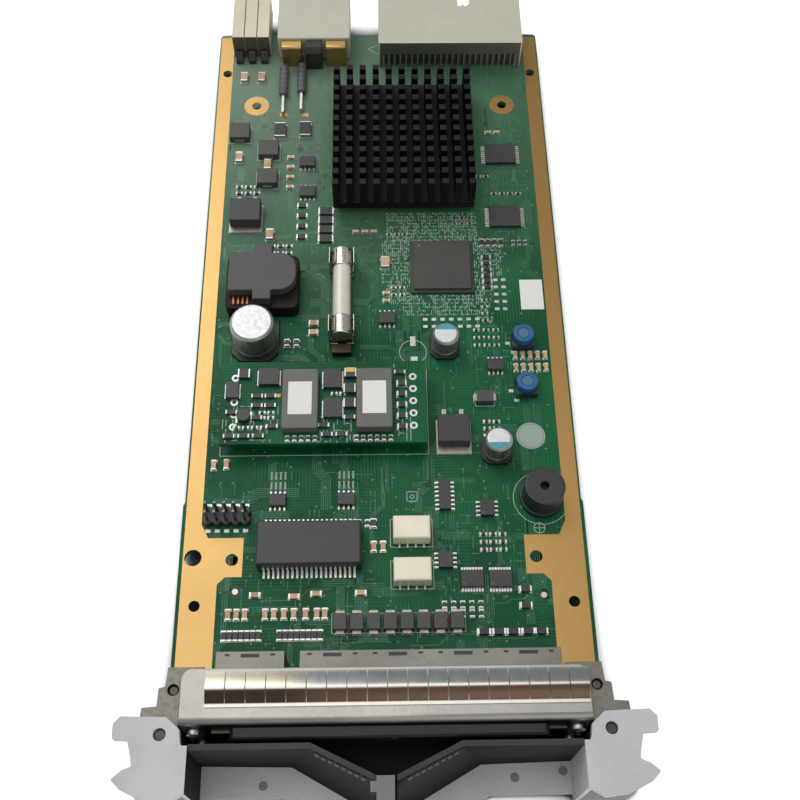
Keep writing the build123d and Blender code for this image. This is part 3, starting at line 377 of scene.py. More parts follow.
class Finish:
    """A material on object coordinates, with the few nodes that these finishes are made of."""

    def __init__(self, name, colour, rough, metallic=0.0):
        self.material = bpy.data.materials.new(name)
        self.material.use_nodes = True
        self.material.diffuse_color = (*colour, 1)
        self.tree = self.material.node_tree
        self.shader = next(node for node in self.tree.nodes if node.type == "BSDF_PRINCIPLED")
        self.shader.inputs["Base Color"].default_value = (*colour, 1)
        self.shader.inputs["Roughness"].default_value = rough
        self.shader.inputs["Metallic"].default_value = metallic
        self.colour = colour
        self.place = self.tree.nodes.new("ShaderNodeTexCoord").outputs["Object"]

    def stretched(self, scale, turn=0.0):
        """Object coordinates, stretched and turned about Z."""
        mapping = self.tree.nodes.new("ShaderNodeMapping")
        mapping.inputs["Scale"].default_value = scale
        mapping.inputs["Rotation"].default_value = (0, 0, turn)
        self.tree.links.new(self.place, mapping.inputs["Vector"])
        return mapping.outputs["Vector"]

    def along(self, axis):
        """One of the object coordinates, in metres."""
        node = self.tree.nodes.new("ShaderNodeSeparateXYZ")
        self.tree.links.new(self.place, node.inputs[0])
        return node.outputs[axis]

    def noise(self, cells_per_metre, detail=4.0, place=None):
        """Cloudy noise."""
        node = self.tree.nodes.new("ShaderNodeTexNoise")
        node.inputs["Scale"].default_value = cells_per_metre
        node.inputs["Detail"].default_value = detail
        self.tree.links.new(place or self.place, node.inputs["Vector"])
        return node.outputs["Fac"]

    def cells(self, cells_per_metre, output="Distance"):
        """Irregular cells: how far their middles are, or a colour for each."""
        node = self.tree.nodes.new("ShaderNodeTexVoronoi")
        node.inputs["Scale"].default_value = cells_per_metre
        self.tree.links.new(self.place, node.inputs["Vector"])
        return node.outputs[output]

    def bands(self, bands_per_metre, direction):
        """Straight soft bands across one direction."""
        node = self.tree.nodes.new("ShaderNodeTexWave")
        node.bands_direction = direction
        node.inputs["Scale"].default_value = bands_per_metre
        self.tree.links.new(self.place, node.inputs["Vector"])
        return node.outputs["Fac"]

    def ramp(self, value, low, high, from_low=0.0, from_high=1.0):
        """The value moved from one range to another and clamped there."""
        node = self.tree.nodes.new("ShaderNodeMapRange")
        for label, number in zip(("From Min", "From Max", "To Min", "To Max"),
                                 (from_low, from_high, low, high)):
            node.inputs[label].default_value = number
        self.tree.links.new(value, node.inputs["Value"])
        return node.outputs["Result"]

    def sum(self, first, second, operation="ADD"):
        """Two values added, or joined by another operation, and clamped."""
        node = self.tree.nodes.new("ShaderNodeMath")
        node.operation = operation
        node.use_clamp = True
        self.tree.links.new(first, node.inputs[0])
        self.tree.links.new(second, node.inputs[1])
        return node.outputs[0]

    def mixed(self, factor, first, second):
        """One colour or the other, by a factor. A colour is three numbers or a socket."""
        node = self.tree.nodes.new("ShaderNodeMix")
        node.data_type = "RGBA"
        self.tree.links.new(factor, node.inputs[0])
        for socket, colour in ((node.inputs[6], first), (node.inputs[7], second)):
            if isinstance(colour, bpy.types.NodeSocket):
                self.tree.links.new(colour, socket)
            else:
                socket.default_value = (*colour, 1)
        return node.outputs[2]

    def with_painted_sheen(self, colour):
        """The colour, paler and greyer towards the card's rear left corner."""
        back = self.ramp(self.along("Y"), 0, 0.95, 0.005, 0.105)
        left = self.ramp(self.along("X"), 1, 0.35, -0.035, 0.03)
        # painted sheen: mixes towards a pale grey-green at the rear left
        return self.mixed(self.sum(back, left, "MULTIPLY"), colour, (0.165, 0.245, 0.175))

    def shade(self, factor, darker=0.8, lighter=1.2):
        """The finish's own colour, darker and lighter by a factor."""
        dark = tuple(min(1.0, channel * darker) for channel in self.colour)
        light = tuple(min(1.0, channel * lighter) for channel in self.colour)
        return self.mixed(factor, dark, light)

    def paint(self, colour=None, rough=None, height=None, depth=0.00002, strength=1.0):
        """Links what is given to the shader: colour, roughness, and a height as bump."""
        if colour:
            self.tree.links.new(colour, self.shader.inputs["Base Color"])
        if rough:
            self.tree.links.new(rough, self.shader.inputs["Roughness"])
        if height:
            bump = self.tree.nodes.new("ShaderNodeBump")
            bump.inputs["Distance"].default_value = depth
            bump.inputs["Strength"].default_value = strength
            self.tree.links.new(height, bump.inputs["Height"])
            self.tree.links.new(bump.outputs["Normal"], self.shader.inputs["Normal"])
        return self.material


def known(make):
    """Keeps one material for each finish and name, so that pieces share it."""
    def kept(name, *values, **more):
        return bpy.data.materials.get(name) or make(name, *values, **more)
    return kept


@known
def moulded(name, colour, rough=0.5, grain=2500, spread=0.18, depth=0.00003, shine=0.5):
    """Moulded plastic: fine grain, faint flow clouds, and rougher where it was handled."""
    look = Finish(name, colour, rough)
    look.shader.inputs["Specular IOR Level"].default_value = shine
    cloud = look.noise(90, 2)
    fine = look.noise(grain, 3)
    return look.paint(look.shade(look.sum(look.ramp(cloud, 0, 0.7, 0.3, 0.7), look.ramp(fine, 0, 0.3)),
                                 1 - spread, 1 + spread),
                      look.ramp(fine, max(0.05, rough - 0.08), rough + 0.1), fine, depth)


@known
def plated(name, colour, rough=0.3, wear=0.2, stretch=(1, 1, 1), depth=0.00001):
    """Plated or drawn metal: streaks along one way, cloudy tarnish and fine scratches."""
    look = Finish(name, colour, rough, 1.0)
    streak = look.noise(900, 5, look.stretched(stretch))
    cloud = look.noise(60, 3)
    return look.paint(look.shade(look.sum(look.ramp(cloud, 0, 0.6, 0.3, 0.7), look.ramp(streak, 0, 0.4)),
                                 1 - wear, 1 + wear),
                      look.ramp(streak, max(0.05, rough - 0.08), rough + 0.14, 0.3, 0.7), streak, depth)


@known
def cast_paint(name, colour):
    """Fine grey paint over a casting: pebbled, with darker specks and soft clouds."""
    look = Finish(name, colour, 0.42)
    pebble = look.cells(2600)
    cloud = look.noise(45, 3)
    speck = look.ramp(look.noise(1500, 2), 0, 1, 0.62, 0.75)
    base = look.shade(look.ramp(cloud, 0, 1, 0.3, 0.7), 0.88, 1.1)
    dark = tuple(channel * 0.6 for channel in colour)
    return look.paint(look.mixed(look.ramp(speck, 0, 0.35), base, dark),
                      look.ramp(cloud, 0.34, 0.5), pebble, 0.00004, 0.7)


@known
def solder_mask(name, deep, raised):
    """Green mask: buried tracks show as fine lighter bands whose direction changes from cell to cell,
    over cloudy copper planes, with the weave of the laminate as faint relief."""
    look = Finish(name, deep, 0.32)
    look.shader.inputs["Specular IOR Level"].default_value = 0.14
    block = look.cells(110, output="Color")
    split = look.tree.nodes.new("ShaderNodeSeparateColor")
    look.tree.links.new(block, split.inputs[0])
    across = look.ramp(look.bands(330, "X"), 0, 1, 0.55, 0.8)
    along = look.ramp(look.bands(330, "Y"), 0, 1, 0.55, 0.8)
    choose = look.ramp(split.outputs[0], 0, 1, 0.49, 0.51)
    lines = look.tree.nodes.new("ShaderNodeMix")
    for number, value in ((0, choose), (2, across), (3, along)):
        look.tree.links.new(value, lines.inputs[number])
    crowd = look.ramp(split.outputs[1], 0, 0.75, 0.35, 0.8)
    buried = look.sum(lines.outputs[0], crowd, "MULTIPLY")
    plane = look.ramp(look.noise(55, 3), 0, 0.55, 0.42, 0.6)
    tone = look.sum(buried, plane)
    weave = look.sum(look.bands(1400, "X"), look.bands(1400, "Y"), "MULTIPLY")
    # painted sheen: paler and greyer towards the rear left corner
    return look.paint(look.with_painted_sheen(look.mixed(tone, deep, raised)), look.ramp(look.noise(300, 3), 0.24, 0.42),
                      weave, 0.000012)


@known
def track_mask(name, colour):
    """Mask over a raised track: the track's green with fine grain and the board's pale corner."""
    look = Finish(name, colour, 0.32)
    grain = look.noise(1500, 3)
    # painted sheen: paler and greyer towards the rear left corner
    return look.paint(look.with_painted_sheen(look.shade(grain, 0.85, 1.15)), look.ramp(grain, 0.26, 0.4), grain, 0.00001)


@known
def gilded(name, colour):
    """Gold plating: fine streaks and cloudy tarnish, and browner towards the card's right side."""
    look = Finish(name, colour, 0.38, 1.0)
    streak = look.noise(700, 4)
    cloud = look.noise(60, 3)
    worn = look.shade(look.sum(look.ramp(cloud, 0, 0.6, 0.3, 0.7), look.ramp(streak, 0, 0.4)), 0.93, 1.07)
    # painted shade: the gold turns browner and darker towards the card's right side
    painted_shade_brown = tuple(channel * share for channel, share in zip(colour, (0.82, 0.78, 0.74)))
    return look.paint(look.mixed(look.ramp(look.along("X"), 0, 1, -0.02, 0.05), worn, painted_shade_brown),
                      look.ramp(streak, 0.32, 0.46), streak, 0.000003)


@known
def glazed(name, colour):
    """Glazed ceramic: smooth, slightly uneven, with a few pale veils."""
    look = Finish(name, colour, 0.22)
    look.shader.inputs["Coat Weight"].default_value = 0.4
    veil = look.noise(240, 4)
    return look.paint(look.shade(look.ramp(veil, 0, 1, 0.3, 0.7), 0.93, 1.06), look.ramp(veil, 0.18, 0.3),
                      look.noise(120, 2), 0.00003)


@known
def fired(name, colour, other):
    """Fired ceramic chips: one tone or another from part to part, with a sandy grain."""
    look = Finish(name, colour, 0.5)
    part = look.ramp(look.cells(260, output="Color"), 0, 1, 0.3, 0.7)
    grain = look.noise(3500, 3)
    return look.paint(look.mixed(part, colour, other), look.ramp(grain, 0.4, 0.6), grain, 0.00002)


@known
def ground_ferrite(name, colour):
    """Ground ferrite: grey, with grinding lines across and dark pores."""
    look = Finish(name, colour, 0.55)
    lines = look.noise(700, 4, look.stretched((1, 9, 1)))
    pores = look.ramp(look.cells(1900), 1, 0, 0.08, 0.2)
    tone = look.shade(look.ramp(lines, 0, 1, 0.35, 0.65), 0.8, 1.15)
    return look.paint(look.mixed(look.ramp(pores, 0, 0.4), tone, (0.03, 0.03, 0.03)),
                      look.ramp(lines, 0.42, 0.62), lines, 0.00002)


@known
def paper(name, colour):
    """Blank sticker: matt paper with faint fibres."""
    look = Finish(name, colour, 0.6)
    fibre = look.noise(2200, 5, look.stretched((1, 3, 1)))
    return look.paint(look.shade(fibre, 0.94, 1.05), look.ramp(fibre, 0.5, 0.7), fibre, 0.000015)


@known
def printed(name, colour):
    """Printed ink, a little broken at its edges."""
    look = Finish(name, colour, 0.55)
    worn = look.noise(2600, 4)
    return look.paint(look.shade(look.ramp(worn, 0, 1, 0.35, 0.6), 0.72, 1.05), look.ramp(worn, 0.45, 0.65),
                      worn, 0.00001)


@known
def finger_nickel(name, low, high, crest):
    """Bright sheet: brown in the front slope, white along the crest, and behind it champagne at one end
    and blue-grey along the rest, with streaks along each finger."""
    look = Finish(name, (0.50, 0.46, 0.40), 0.22, 1.0)
    streak = look.noise(500, 3, look.stretched((1, 0.15, 1)))
    # painted reflections on the rear slope and painted shade on the front slope, each changing along the
    # strip
    side = look.ramp(look.along("X"), 0, 1, -0.024, -0.016)
    rear = look.mixed(side, (0.58, 0.54, 0.42), (0.34, 0.365, 0.365))
    front = look.mixed(side, (0.085, 0.066, 0.052), (0.17, 0.108, 0.074))
    slope = look.mixed(look.ramp(look.along("Y"), 0, 1, crest - 0.0002, crest + 0.0002), front, rear)
    # painted highlight along the crest
    rise = look.ramp(look.along("Y"), 0, 1, crest - 0.0005, crest)
    fall = look.ramp(look.along("Y"), 1, 0, crest + 0.0003, crest + 0.0009)
    shine = look.sum(rise, fall, "MULTIPLY")
    # pale painted highlights along the rear edge and the front rim
    lip_highlight = look.ramp(look.along("Y"), 0, 1, high - 0.0006, high - 0.0003)
    rim = look.ramp(look.along("Y"), 1, 0, low + 0.0006, low + 0.0009)
    tone = look.mixed(look.sum(shine, look.sum(rim, lip_highlight)), slope, (0.52, 0.50, 0.46))
    return look.paint(tone, look.ramp(streak, 0.18, 0.32), streak, 0.000004)


def tin():
    return plated("tinned_leads", (0.60, 0.59, 0.55), 0.32, 0.25)


def solder():
    return plated("solder", (0.50, 0.51, 0.48), 0.38, 0.3)


def clip_metal():
    return plated("clip_nickel", (0.50, 0.48, 0.42), 0.28, 0.15)


def chip_black():
    return moulded("chip_black", (0.030, 0.031, 0.029), 0.42)


def resistor_black():
    return moulded("resistor_black", (0.018, 0.018, 0.019), 0.35)


def fan_green():
    return printed("dense_fan_green", (0.30, 0.39, 0.32))


def black_mould():
    return moulded("black_package", (0.022, 0.023, 0.022), 0.45)


def gold(colours):
    return gilded("gold_plating", tuple(colours.gold))


def tan_ceramic():
    return fired("capacitor_tan", (0.60, 0.37, 0.22), (0.42, 0.28, 0.17))


def white_ink():
    return printed("white_print", (0.50, 0.54, 0.48))


# Board

def bend_routes(rng, count, low, high):
    """Bundles of tracks: from a random start each goes straight, then at 45 degrees, then straight again.
    Returns the points (bundle, line, corner, xy) after a sideways step for each line of the bundle."""
    start = rng.uniform(low, high, (count, 2))
    upright = rng.random(count) < 0.6
    along = np.where(upright[:, None], [0.0, 1.0], [1.0, 0.0]) * rng.choice([-1, 1], count)[:, None]
    side = np.stack([-along[:, 1], along[:, 0]], -1) * rng.choice([-1, 1], count)[:, None]
    first = rng.uniform(3, 14, count)[:, None]
    slant = rng.uniform(0.5, 4, count)[:, None]
    last = rng.uniform(2, 12, count)[:, None]
    corners = np.stack([start, start + along * first, start + along * (first + slant) + side * slant,
                        start + along * (first + slant + last) + side * slant], 1)
    lines = np.arange(5)[None, :] - 2
    step = rng.uniform(0.42, 0.6, count)[:, None] * lines
    across = np.broadcast_to(side[:, None, None, :], (count, 5, 4, 2)) * step[:, :, None, None]
    mitre = np.array([0.0, 0.414, 0.414, 0.0])[None, None, :, None] * step[:, :, None, None]
    pushed = corners[:, None] + across - along[:, None, None, :] * mitre
    kept = np.abs(lines) <= rng.integers(0, 3, count)[:, None]
    return np.clip(pushed[kept], low, high)


def build_board(sizes, colours):
    """The board's mask, buried tracks, plated holes, printed outlines, rings and pads."""
    mask = solder_mask("solder_mask", tuple(colours.mask), tuple(colours.track))
    dress(mask, "main_board")
    rng = np.random.default_rng(11)
    low = np.array([-48.6, REAR - 228.0])
    high = np.array([48.6, REAR - 3.0])
    routes = bend_routes(rng, sizes.route_count, low, high)
    raised = track_mask("track_green", tuple(colours.track))
    piece("board_tracks",
          tracks(routes[:, :-1].reshape(-1, 2), routes[:, 1:].reshape(-1, 2), sizes.track_width / MM,
                 TOP - 2 * SUNK, 0.02 + sizes.track_height / MM), raised)
    vias = rng.uniform(low, high, (sizes.via_count, 2))
    piece("board_vias", rings(at(vias[:, 0], vias[:, 1], TOP - 2 * SUNK), 0.11, 0.3, 0.055, 8),
          printed("via_green", (0.15, 0.25, 0.18)))
    build_rings(colours)
    build_print(sizes)
    build_fans(rng)
    build_pads()


def build_rings(colours):
    """Gold rings round the fixing holes, bare copper dots at the front corners and two loose pads."""
    centres = spots([(-HOLE_X, RING_DISTANCE), (HOLE_X, RING_DISTANCE)], TOP - 2 * SUNK)
    wide = rings(centres, 1.52, 4.1, 0.1)
    pads = blocks(spots([(-31.8, 35.8), (-24.7, 35.9)], TOP - 2 * SUNK), (2.4, 1.5, 0.1))
    aims = spots([(-39.5, 199.0), (42.1, 200.9)], TOP - 2 * SUNK)
    dot = 0.8
    marks = discs(aims, dot, 0.1, 20)
    piece("gold_rings", joined(wide, pads), gold(colours))
    piece("aiming_dots", marks, solder())
    halo = rings(aims, dot, 1.7, 0.05)
    piece("bare_laminate", halo, moulded("bare_laminate", (0.012, 0.035, 0.014), 0.5))


def build_print(sizes):
    """White print: frames round the parts, circles at the round ones, and the mark by the buzzer."""
    width, base, height = sizes.silk_width / MM, TOP - SUNK, 0.06
    margins = {"diodes": 0.45, "relays": 0.7}
    frames = []
    for node, margin in margins.items():
        low, high = solids(node)
        frames.append(outlines(low - margin, high + margin, width, base, height))
    low, high = MODULE_LOW[None] - 0.6, MODULE_HIGH[None] + 0.6
    frames.append(outlines(low, high, width, base, height))
    buzzer_low, buzzer_high = span("buzzer")
    centre = (buzzer_low + buzzer_high) / 2
    circles = rings([[centre[0], centre[1], base]], 7.6, 7.6 + width, height, 48)
    spare = rings(spots([(9.1, 126.7)], base), 3.9, 3.9 + width, height, 40)
    mark = spots([(42.3, 182.1)], base)
    target = rings(mark, 1.4, 1.4 + width, height, 24)
    cross = blocks(np.repeat(mark, 2, 0), [(2.8, width, height), (width, 2.8, height)])
    arrow = spots([(-3.6, 6.6)], base)[0]
    corners = np.array([(0.0, 0.0), (5.4, 2.7), (5.4, -4.2)]) + arrow[:2]
    triangle = tracks(corners, np.roll(corners, -1, axis=0), width, base, height)
    square = outlines([[6.4, REAR - 173.9]], [[9.2, REAR - 171.1]], width, base, height)
    eye = rings(spots([(7.8, 172.5)], base), 0.45, 0.45 + width, height, 16)
    piece("white_print", joined(*frames, circles, spare, target, cross, triangle, square, eye), white_ink())


# Regions of short runs, each as x and distance of two corners, pitch and share of cells taken
FAN_REGIONS = [
    ((2.0, 76.5), (30.0, 87.0), 0.58, 0.74), ((0.5, 87.0), (8.6, 110.0), 0.62, 0.66),
    ((-9.0, 76.0), (0.5, 119.0), 0.9, 0.20), ((28.7, 86.5), (37.0, 100.0), 0.62, 0.62),
    ((28.7, 100.0), (33.4, 117.0), 0.62, 0.62), ((6.0, 107.2), (30.0, 114.0), 0.60, 0.70),
    ((31.0, 60.0), (46.8, 72.8), 0.85, 0.42), ((30.5, 83.6), (47.0, 91.0), 0.85, 0.42),
    ((31.0, 37.0), (46.8, 48.0), 0.95, 0.30), ((24.5, 116.0), (38.0, 137.0), 0.95, 0.28),
    ((26.0, 138.0), (38.0, 150.0), 1.1, 0.18), ((20.0, 162.0), (38.0, 173.0), 1.1, 0.20),
    ((13.0, 176.0), (37.0, 192.0), 1.0, 0.20), ((-12.0, 163.0), (12.0, 178.0), 1.2, 0.14),
    ((-45.0, 162.0), (-12.0, 178.0), 1.3, 0.10), ((-47.0, 35.0), (-19.0, 92.0), 1.5, 0.10),
    ((-17.0, 120.0), (16.0, 131.0), 1.3, 0.12), ((-40.0, 196.0), (36.0, 213.0), 1.1, 0.16),
]
MODULE_FANS = [
    ((-44.5, 147.5), (-28.8, 158.5), 0.95, 0.40), ((-17.4, 151.0), (-8.0, 158.5), 0.95, 0.40),
    ((3.3, 134.5), (8.0, 158.5), 1.1, 0.30), ((-28.0, 156.6), (2.0, 158.8), 0.9, 0.45),
]
# Regions with a finer pitch than this are drawn in the lighter green
DENSE_PITCH = 0.7


def fan_runs(rng, low, high, pitch, share):
    """Short runs in a region. Its cells lie one pitch apart across and two along, some are taken, and each
    run starts at its cell and goes on for up to three pitches, along Y more often than along X."""
    x, distance = np.meshgrid(np.arange(low[0], high[0], pitch), np.arange(low[1], high[1], pitch * 2.2))
    start = np.column_stack([x.ravel(), distance.ravel()])
    start = start[rng.random(len(start)) < share]
    length = pitch * rng.uniform(0.7, 2.9, len(start))
    upright = rng.random(len(start)) < 0.72
    step = np.where(upright[:, None], [[0.0, 1.0]], [[1.0, 0.0]]) * length[:, None]
    return start, np.clip(start + step, low, high)


def fan_tracks(rng, regions, width, level):
    """Where the short runs of some regions start, and the runs as tracks on a board's top."""
    starts, ends = zip(*[fan_runs(rng, *region) for region in regions])
    starts, ends = np.concatenate(starts), np.concatenate(ends)
    return starts, tracks(spots(starts)[:, :2], spots(ends)[:, :2], width, level - SUNK, 0.045)


def build_fans(rng):
    """Light runs and dots that fan out between the chips, combs behind two chips, and bare pads."""
    for name, dense, look in (("dense_fans", True, fan_green()),
                              ("sparse_fans", False, printed("sparse_fan_green", (0.07, 0.17, 0.10)))):
        regions = [region for region in FAN_REGIONS if (region[2] < DENSE_PITCH) == dense]
        starts, runs = fan_tracks(rng, regions, 0.21, TOP)
        dots = rings(spots(starts[::3], TOP - SUNK), 0.1, 0.3, 0.05, 8)
        piece(name, joined(runs, dots), look)
    low, high = solids("small_chips")
    middle = (low + high) / 2
    combed = middle[(middle[:, 0] < -5) & (REAR - middle[:, 1] > 170)]
    teeth = np.linspace(-1.9, 1.9, 4)
    comb = np.array([(x, y) for x in teeth for y in (4.6, 7.6)])
    legs = (combed[:, None, :2] + comb[None]).reshape(-1, 2)
    comb_lines = blocks(at(legs[:, 0], legs[:, 1], TOP - SUNK), (0.5, 2.3, 0.05))
    piece("comb_lines", comb_lines, fan_green())
    below = [(13.0 + 2.6 * step, distance) for distance in (115.5, 118.0) for step in range(7)]
    beside = [(x, 101.6 + 2.6 * step) for x in (34.8, 37.2) for step in range(5)]
    header = [(-42.6 + 2.54 * step, distance) for distance in (174.6, 181.9) for step in range(-2, 3)]
    low, high = solids("button_bases")
    foot = np.column_stack([low[:, 0] - 0.2, REAR - low[:, 1]])
    small = np.concatenate([below, beside, foot + [-1.0, -2.4], foot + [0.5, 0.7], header])
    spare = spots([(9.1, 123.0), (9.4, 130.2)], TOP - SUNK)
    piece("bare_pads", joined(blocks(spots(small, TOP - SUNK), (1.35, 0.95, 0.07)),
                              blocks(spare, [(1.6, 3.3, 0.07), (2.0, 3.9, 0.07)])), solder())


def build_pads():
    """Soldered pads under the chips' ends and legs, a little wider than each end."""
    grown = []
    for node, margin in {"chip_terminals": 0.22, "metal_tabs": 0.1, "small_chip_leads": 0.1}.items():
        low, high = solids(node)
        size = high - low + 2 * margin
        middle = (low + high) / 2
        on_board = low[:, 2] < TOP + 0.3
        grown.append(blocks(at(middle[:, 0], middle[:, 1], TOP - SUNK)[on_board],
                            at(size[:, 0], size[:, 1], 0.05)[on_board]))
    piece("solder_pads", joined(*grown), solder())


# Fields of tiny parts, each as the middle, columns, rows, steps and body size
DARK_FIELDS = [
    ((31.5, 62.0), 3, 1, (2.4, 2.2), (1.2, 0.6, 0.4)),
    ((40.0, 69.0), 4, 1, (2.6, 2.4), (1.2, 0.6, 0.4)),
    ((25.5, 79.5), 3, 2, (2.4, 2.0), (1.1, 0.6, 0.4)),
    ((5.0, 84.5), 3, 1, (2.4, 2.0), (1.1, 0.6, 0.4)),
    ((5.0, 105.5), 2, 2, (2.6, 2.6), (1.1, 0.6, 0.4)),
    ((43.0, 88.0), 3, 1, (1.9, 2.0), (0.7, 1.4, 0.4)),
    ((31.0, 112.5), 1, 4, (2.8, 2.4), (1.2, 0.6, 0.4)),
    ((31.0, 122.0), 3, 3, (2.9, 2.6), (1.2, 0.6, 0.4)),
    ((31.0, 152.0), 2, 3, (2.8, 2.2), (1.4, 0.8, 0.4)),
    ((-8.0, 180.2), 4, 1, (2.3, 2.2), (0.9, 1.6, 0.5)),
    ((-26.6, 123.6), 2, 1, (2.8, 2.2), (1.5, 1.9, 1.0)),
    ((-2.9, 180.4), 1, 1, (2.8, 2.2), (1.5, 2.2, 0.9)),
    ((20.5, 204.5), 5, 2, (2.4, 2.4), (0.9, 1.6, 0.5)),
    ((29.5, 186.0), 3, 3, (2.6, 2.2), (1.4, 0.8, 0.5)),
    ((-42.0, 67.0), 3, 2, (2.8, 2.4), (1.5, 0.9, 0.5)),
    ((-31.0, 90.0), 3, 2, (2.6, 2.6), (1.5, 0.9, 0.5)),
]
TAN_FIELDS = [
    ((-5.0, 83.5), 3, 1, (2.8, 2.4), (1.5, 0.9, 0.7)),
    ((1.5, 107.6), 1, 2, (2.8, 2.8), (1.6, 0.9, 0.7)),
    ((10.5, 140.0), 1, 5, (2.4, 3.2), (1.7, 1.0, 0.8)),
    ((-20.3, 118.4), 1, 2, (2.4, 3.2), (2.3, 1.6, 1.0)),
    ((-28.8, 60.0), 1, 4, (2.4, 4.0), (1.8, 1.0, 0.8)),
    ((37.0, 44.0), 2, 1, (2.8, 2.4), (1.6, 0.9, 0.7)),
]
# Fields on the raised power board
MODULE_FIELDS = [
    ((5.4, 147.6), 1, 5, (2.2, 3.4), (2.3, 1.5, 0.8)),
    ((-22.6, 157.7), 5, 1, (1.9, 2.2), (0.8, 1.3, 0.5)),
    ((-2.6, 157.7), 6, 1, (1.9, 2.2), (0.8, 1.3, 0.5)),
    ((-36.8, 154.2), 4, 1, (2.5, 2.2), (1.3, 0.8, 0.5)),
    ((-32.4, 150.4), 2, 2, (2.4, 1.6), (1.2, 0.7, 0.5)),
    ((-12.4, 143.8), 2, 1, (2.4, 2.2), (1.2, 0.7, 0.5)),
]


def field(fields):
    """The places and sizes of all parts of some fields: each is a grid about its middle."""
    places, sizes = [], []
    for middle, columns, rows, steps, size in fields:
        x, y = np.meshgrid((np.arange(columns) - (columns - 1) / 2) * steps[0],
                           (np.arange(rows) - (rows - 1) / 2) * steps[1])
        places.append(np.column_stack([x.ravel() + middle[0], y.ravel() + middle[1]]))
        sizes.append(np.tile(size, (columns * rows, 1)))
    return np.concatenate(places), np.concatenate(sizes)


def tiny_parts(name, fields, level, material):
    """Tiny chips on a board's top: a body, two plated ends that reach round it, and two pads."""
    places, sizes = field(fields)
    bases = spots(places, level)
    piece(name, blocks(bases + [0, 0, 0.05], sizes), material)
    wide = sizes[:, 0] > sizes[:, 1]
    reach = np.where(wide, sizes[:, 0], sizes[:, 1]) / 2
    along = np.where(wide[:, None], [1.0, 0.0], [0.0, 1.0])
    margin = np.where(wide[:, None], [0.35, 0.4, 0.05], [0.4, 0.35, 0.05])
    end = 0.36
    grown = sizes + 0.04
    end_size = at(np.where(wide, end, grown[:, 0]), np.where(wide, grown[:, 1], end), grown[:, 2])
    ends, pads = [], []
    for side in (-1, 1):
        shift = side * at(along[:, 0] * reach, along[:, 1] * reach, 0.0)
        ends.append(blocks(bases + shift + [0, 0, 0.04], end_size))
        pads.append(blocks(bases + shift - [0, 0, SUNK], end_size * [1, 1, 0] + margin))
    piece(name + "_ends", joined(*ends, *pads), solder())


def build_tiny_parts():
    """Fields of tiny resistors and capacitors on the board, and some on the raised power board."""
    black = resistor_black()
    tiny_parts("tiny_resistors", DARK_FIELDS, TOP, black)
    tiny_parts("tiny_capacitors", TAN_FIELDS, TOP, tan_ceramic())
    tiny_parts("module_resistors", MODULE_FIELDS, MODULE_HIGH[2], black)


# Front

def build_panel():
    """The folded panel, its brackets, screws and the dark bar."""
    sheet = plated("panel_sheet", (0.36, 0.35, 0.32), 0.36, 0.12, (6, 1, 1))
    bracket = plated("bracket_plating", (0.20, 0.19, 0.165), 0.45, 0.12)
    # painted shade: the same sheet, darker, on the faces that look to the front
    shaded_front = plated("panel_front", (0.085, 0.072, 0.062), 0.36, 0.15, (6, 1, 1))
    softened("front_panel", [sheet, shaded_front], 0.0003, faces_front)
    for side in ("left", "right"):
        softened(side + "_bracket", [bracket], 0.0002)
    dress(plated("pin_steel", (0.085, 0.085, 0.083), 0.5), "left_pivot_pin", "right_pivot_pin")
    softened("screws", [plated("screw_steel", (0.46, 0.46, 0.44), 0.32)], 0.0002)
    softened("label_bar", [moulded("bar_black", (0.010, 0.008, 0.008), 0.16, 600, 0.1, 0.00001, 0.25)],
             0.0004)
    low, high = solids("screws")
    eyes = ((low + high) / 2)[low[:, 2] < low[:, 2].min() + 0.5]
    eyes[:, 2] = span("right_bracket")[1][2] - 1.5
    rivets = turned(eyes, [(0, 0), (1.42, 0), (1.42, 0.5), (0.9, 0.75), (0, 0.75)])
    piece("bracket_rivets", rivets, plated("rivet_steel", (0.10, 0.095, 0.085), 0.4))


def build_fingers(sizes):
    """Finger strip. Along u from the front rim to the rear lip a finger climbs to a crest and falls again,
    each slope as one less a power of what is left. It is level across v."""
    low, high = span("emi_gasket")
    count = sizes.finger_count
    pitch = (high[0] - low[0]) / count
    gap = sizes.finger_gap / MM
    u = np.linspace(0, 1, 17)[:, None]
    v = np.linspace(-1, 1, 7)[None, :]
    depth = high[1] - low[1]
    rise = high[2] - low[2] - 0.02
    rim = 0.08
    crest = 0.5
    bulge = 1.35
    thickness = 0.12
    climb = np.clip((u - rim) / (crest - rim), 0, 1)
    fall = np.clip((1 - u) / (1 - crest), 0, 1)
    height = rise * (1 - (1 - np.minimum(climb, fall)) ** bulge) + 0 * v
    start = low[0] + pitch * (np.arange(count) + 0.5)
    x = start[:, None, None] + (v * (pitch - gap) / 2)[None] + 0 * u[None]
    y = np.broadcast_to((low[1] + depth * u + 0 * v)[None], x.shape)
    z = np.broadcast_to((low[2] + 0.01 + height)[None], x.shape)
    upper = np.stack([x, y, z], -1)
    lower = upper - [0, 0, thickness]
    lower[..., 2] = np.maximum(lower[..., 2], low[2])
    upper[..., 2] = np.maximum(upper[..., 2], lower[..., 2] + 0.05)
    strip = blocks([((low[0] + high[0]) / 2, low[1] + 0.45, low[2])], (high[0] - low[0], 0.9, 0.35))
    look = finger_nickel("finger_nickel", low[1] * MM, high[1] * MM, (low[1] + depth * crest) * MM)
    obj = piece("finger_strip", joined(sheets(upper, lower), strip), look, smooth=True)
    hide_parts("emi_gasket")


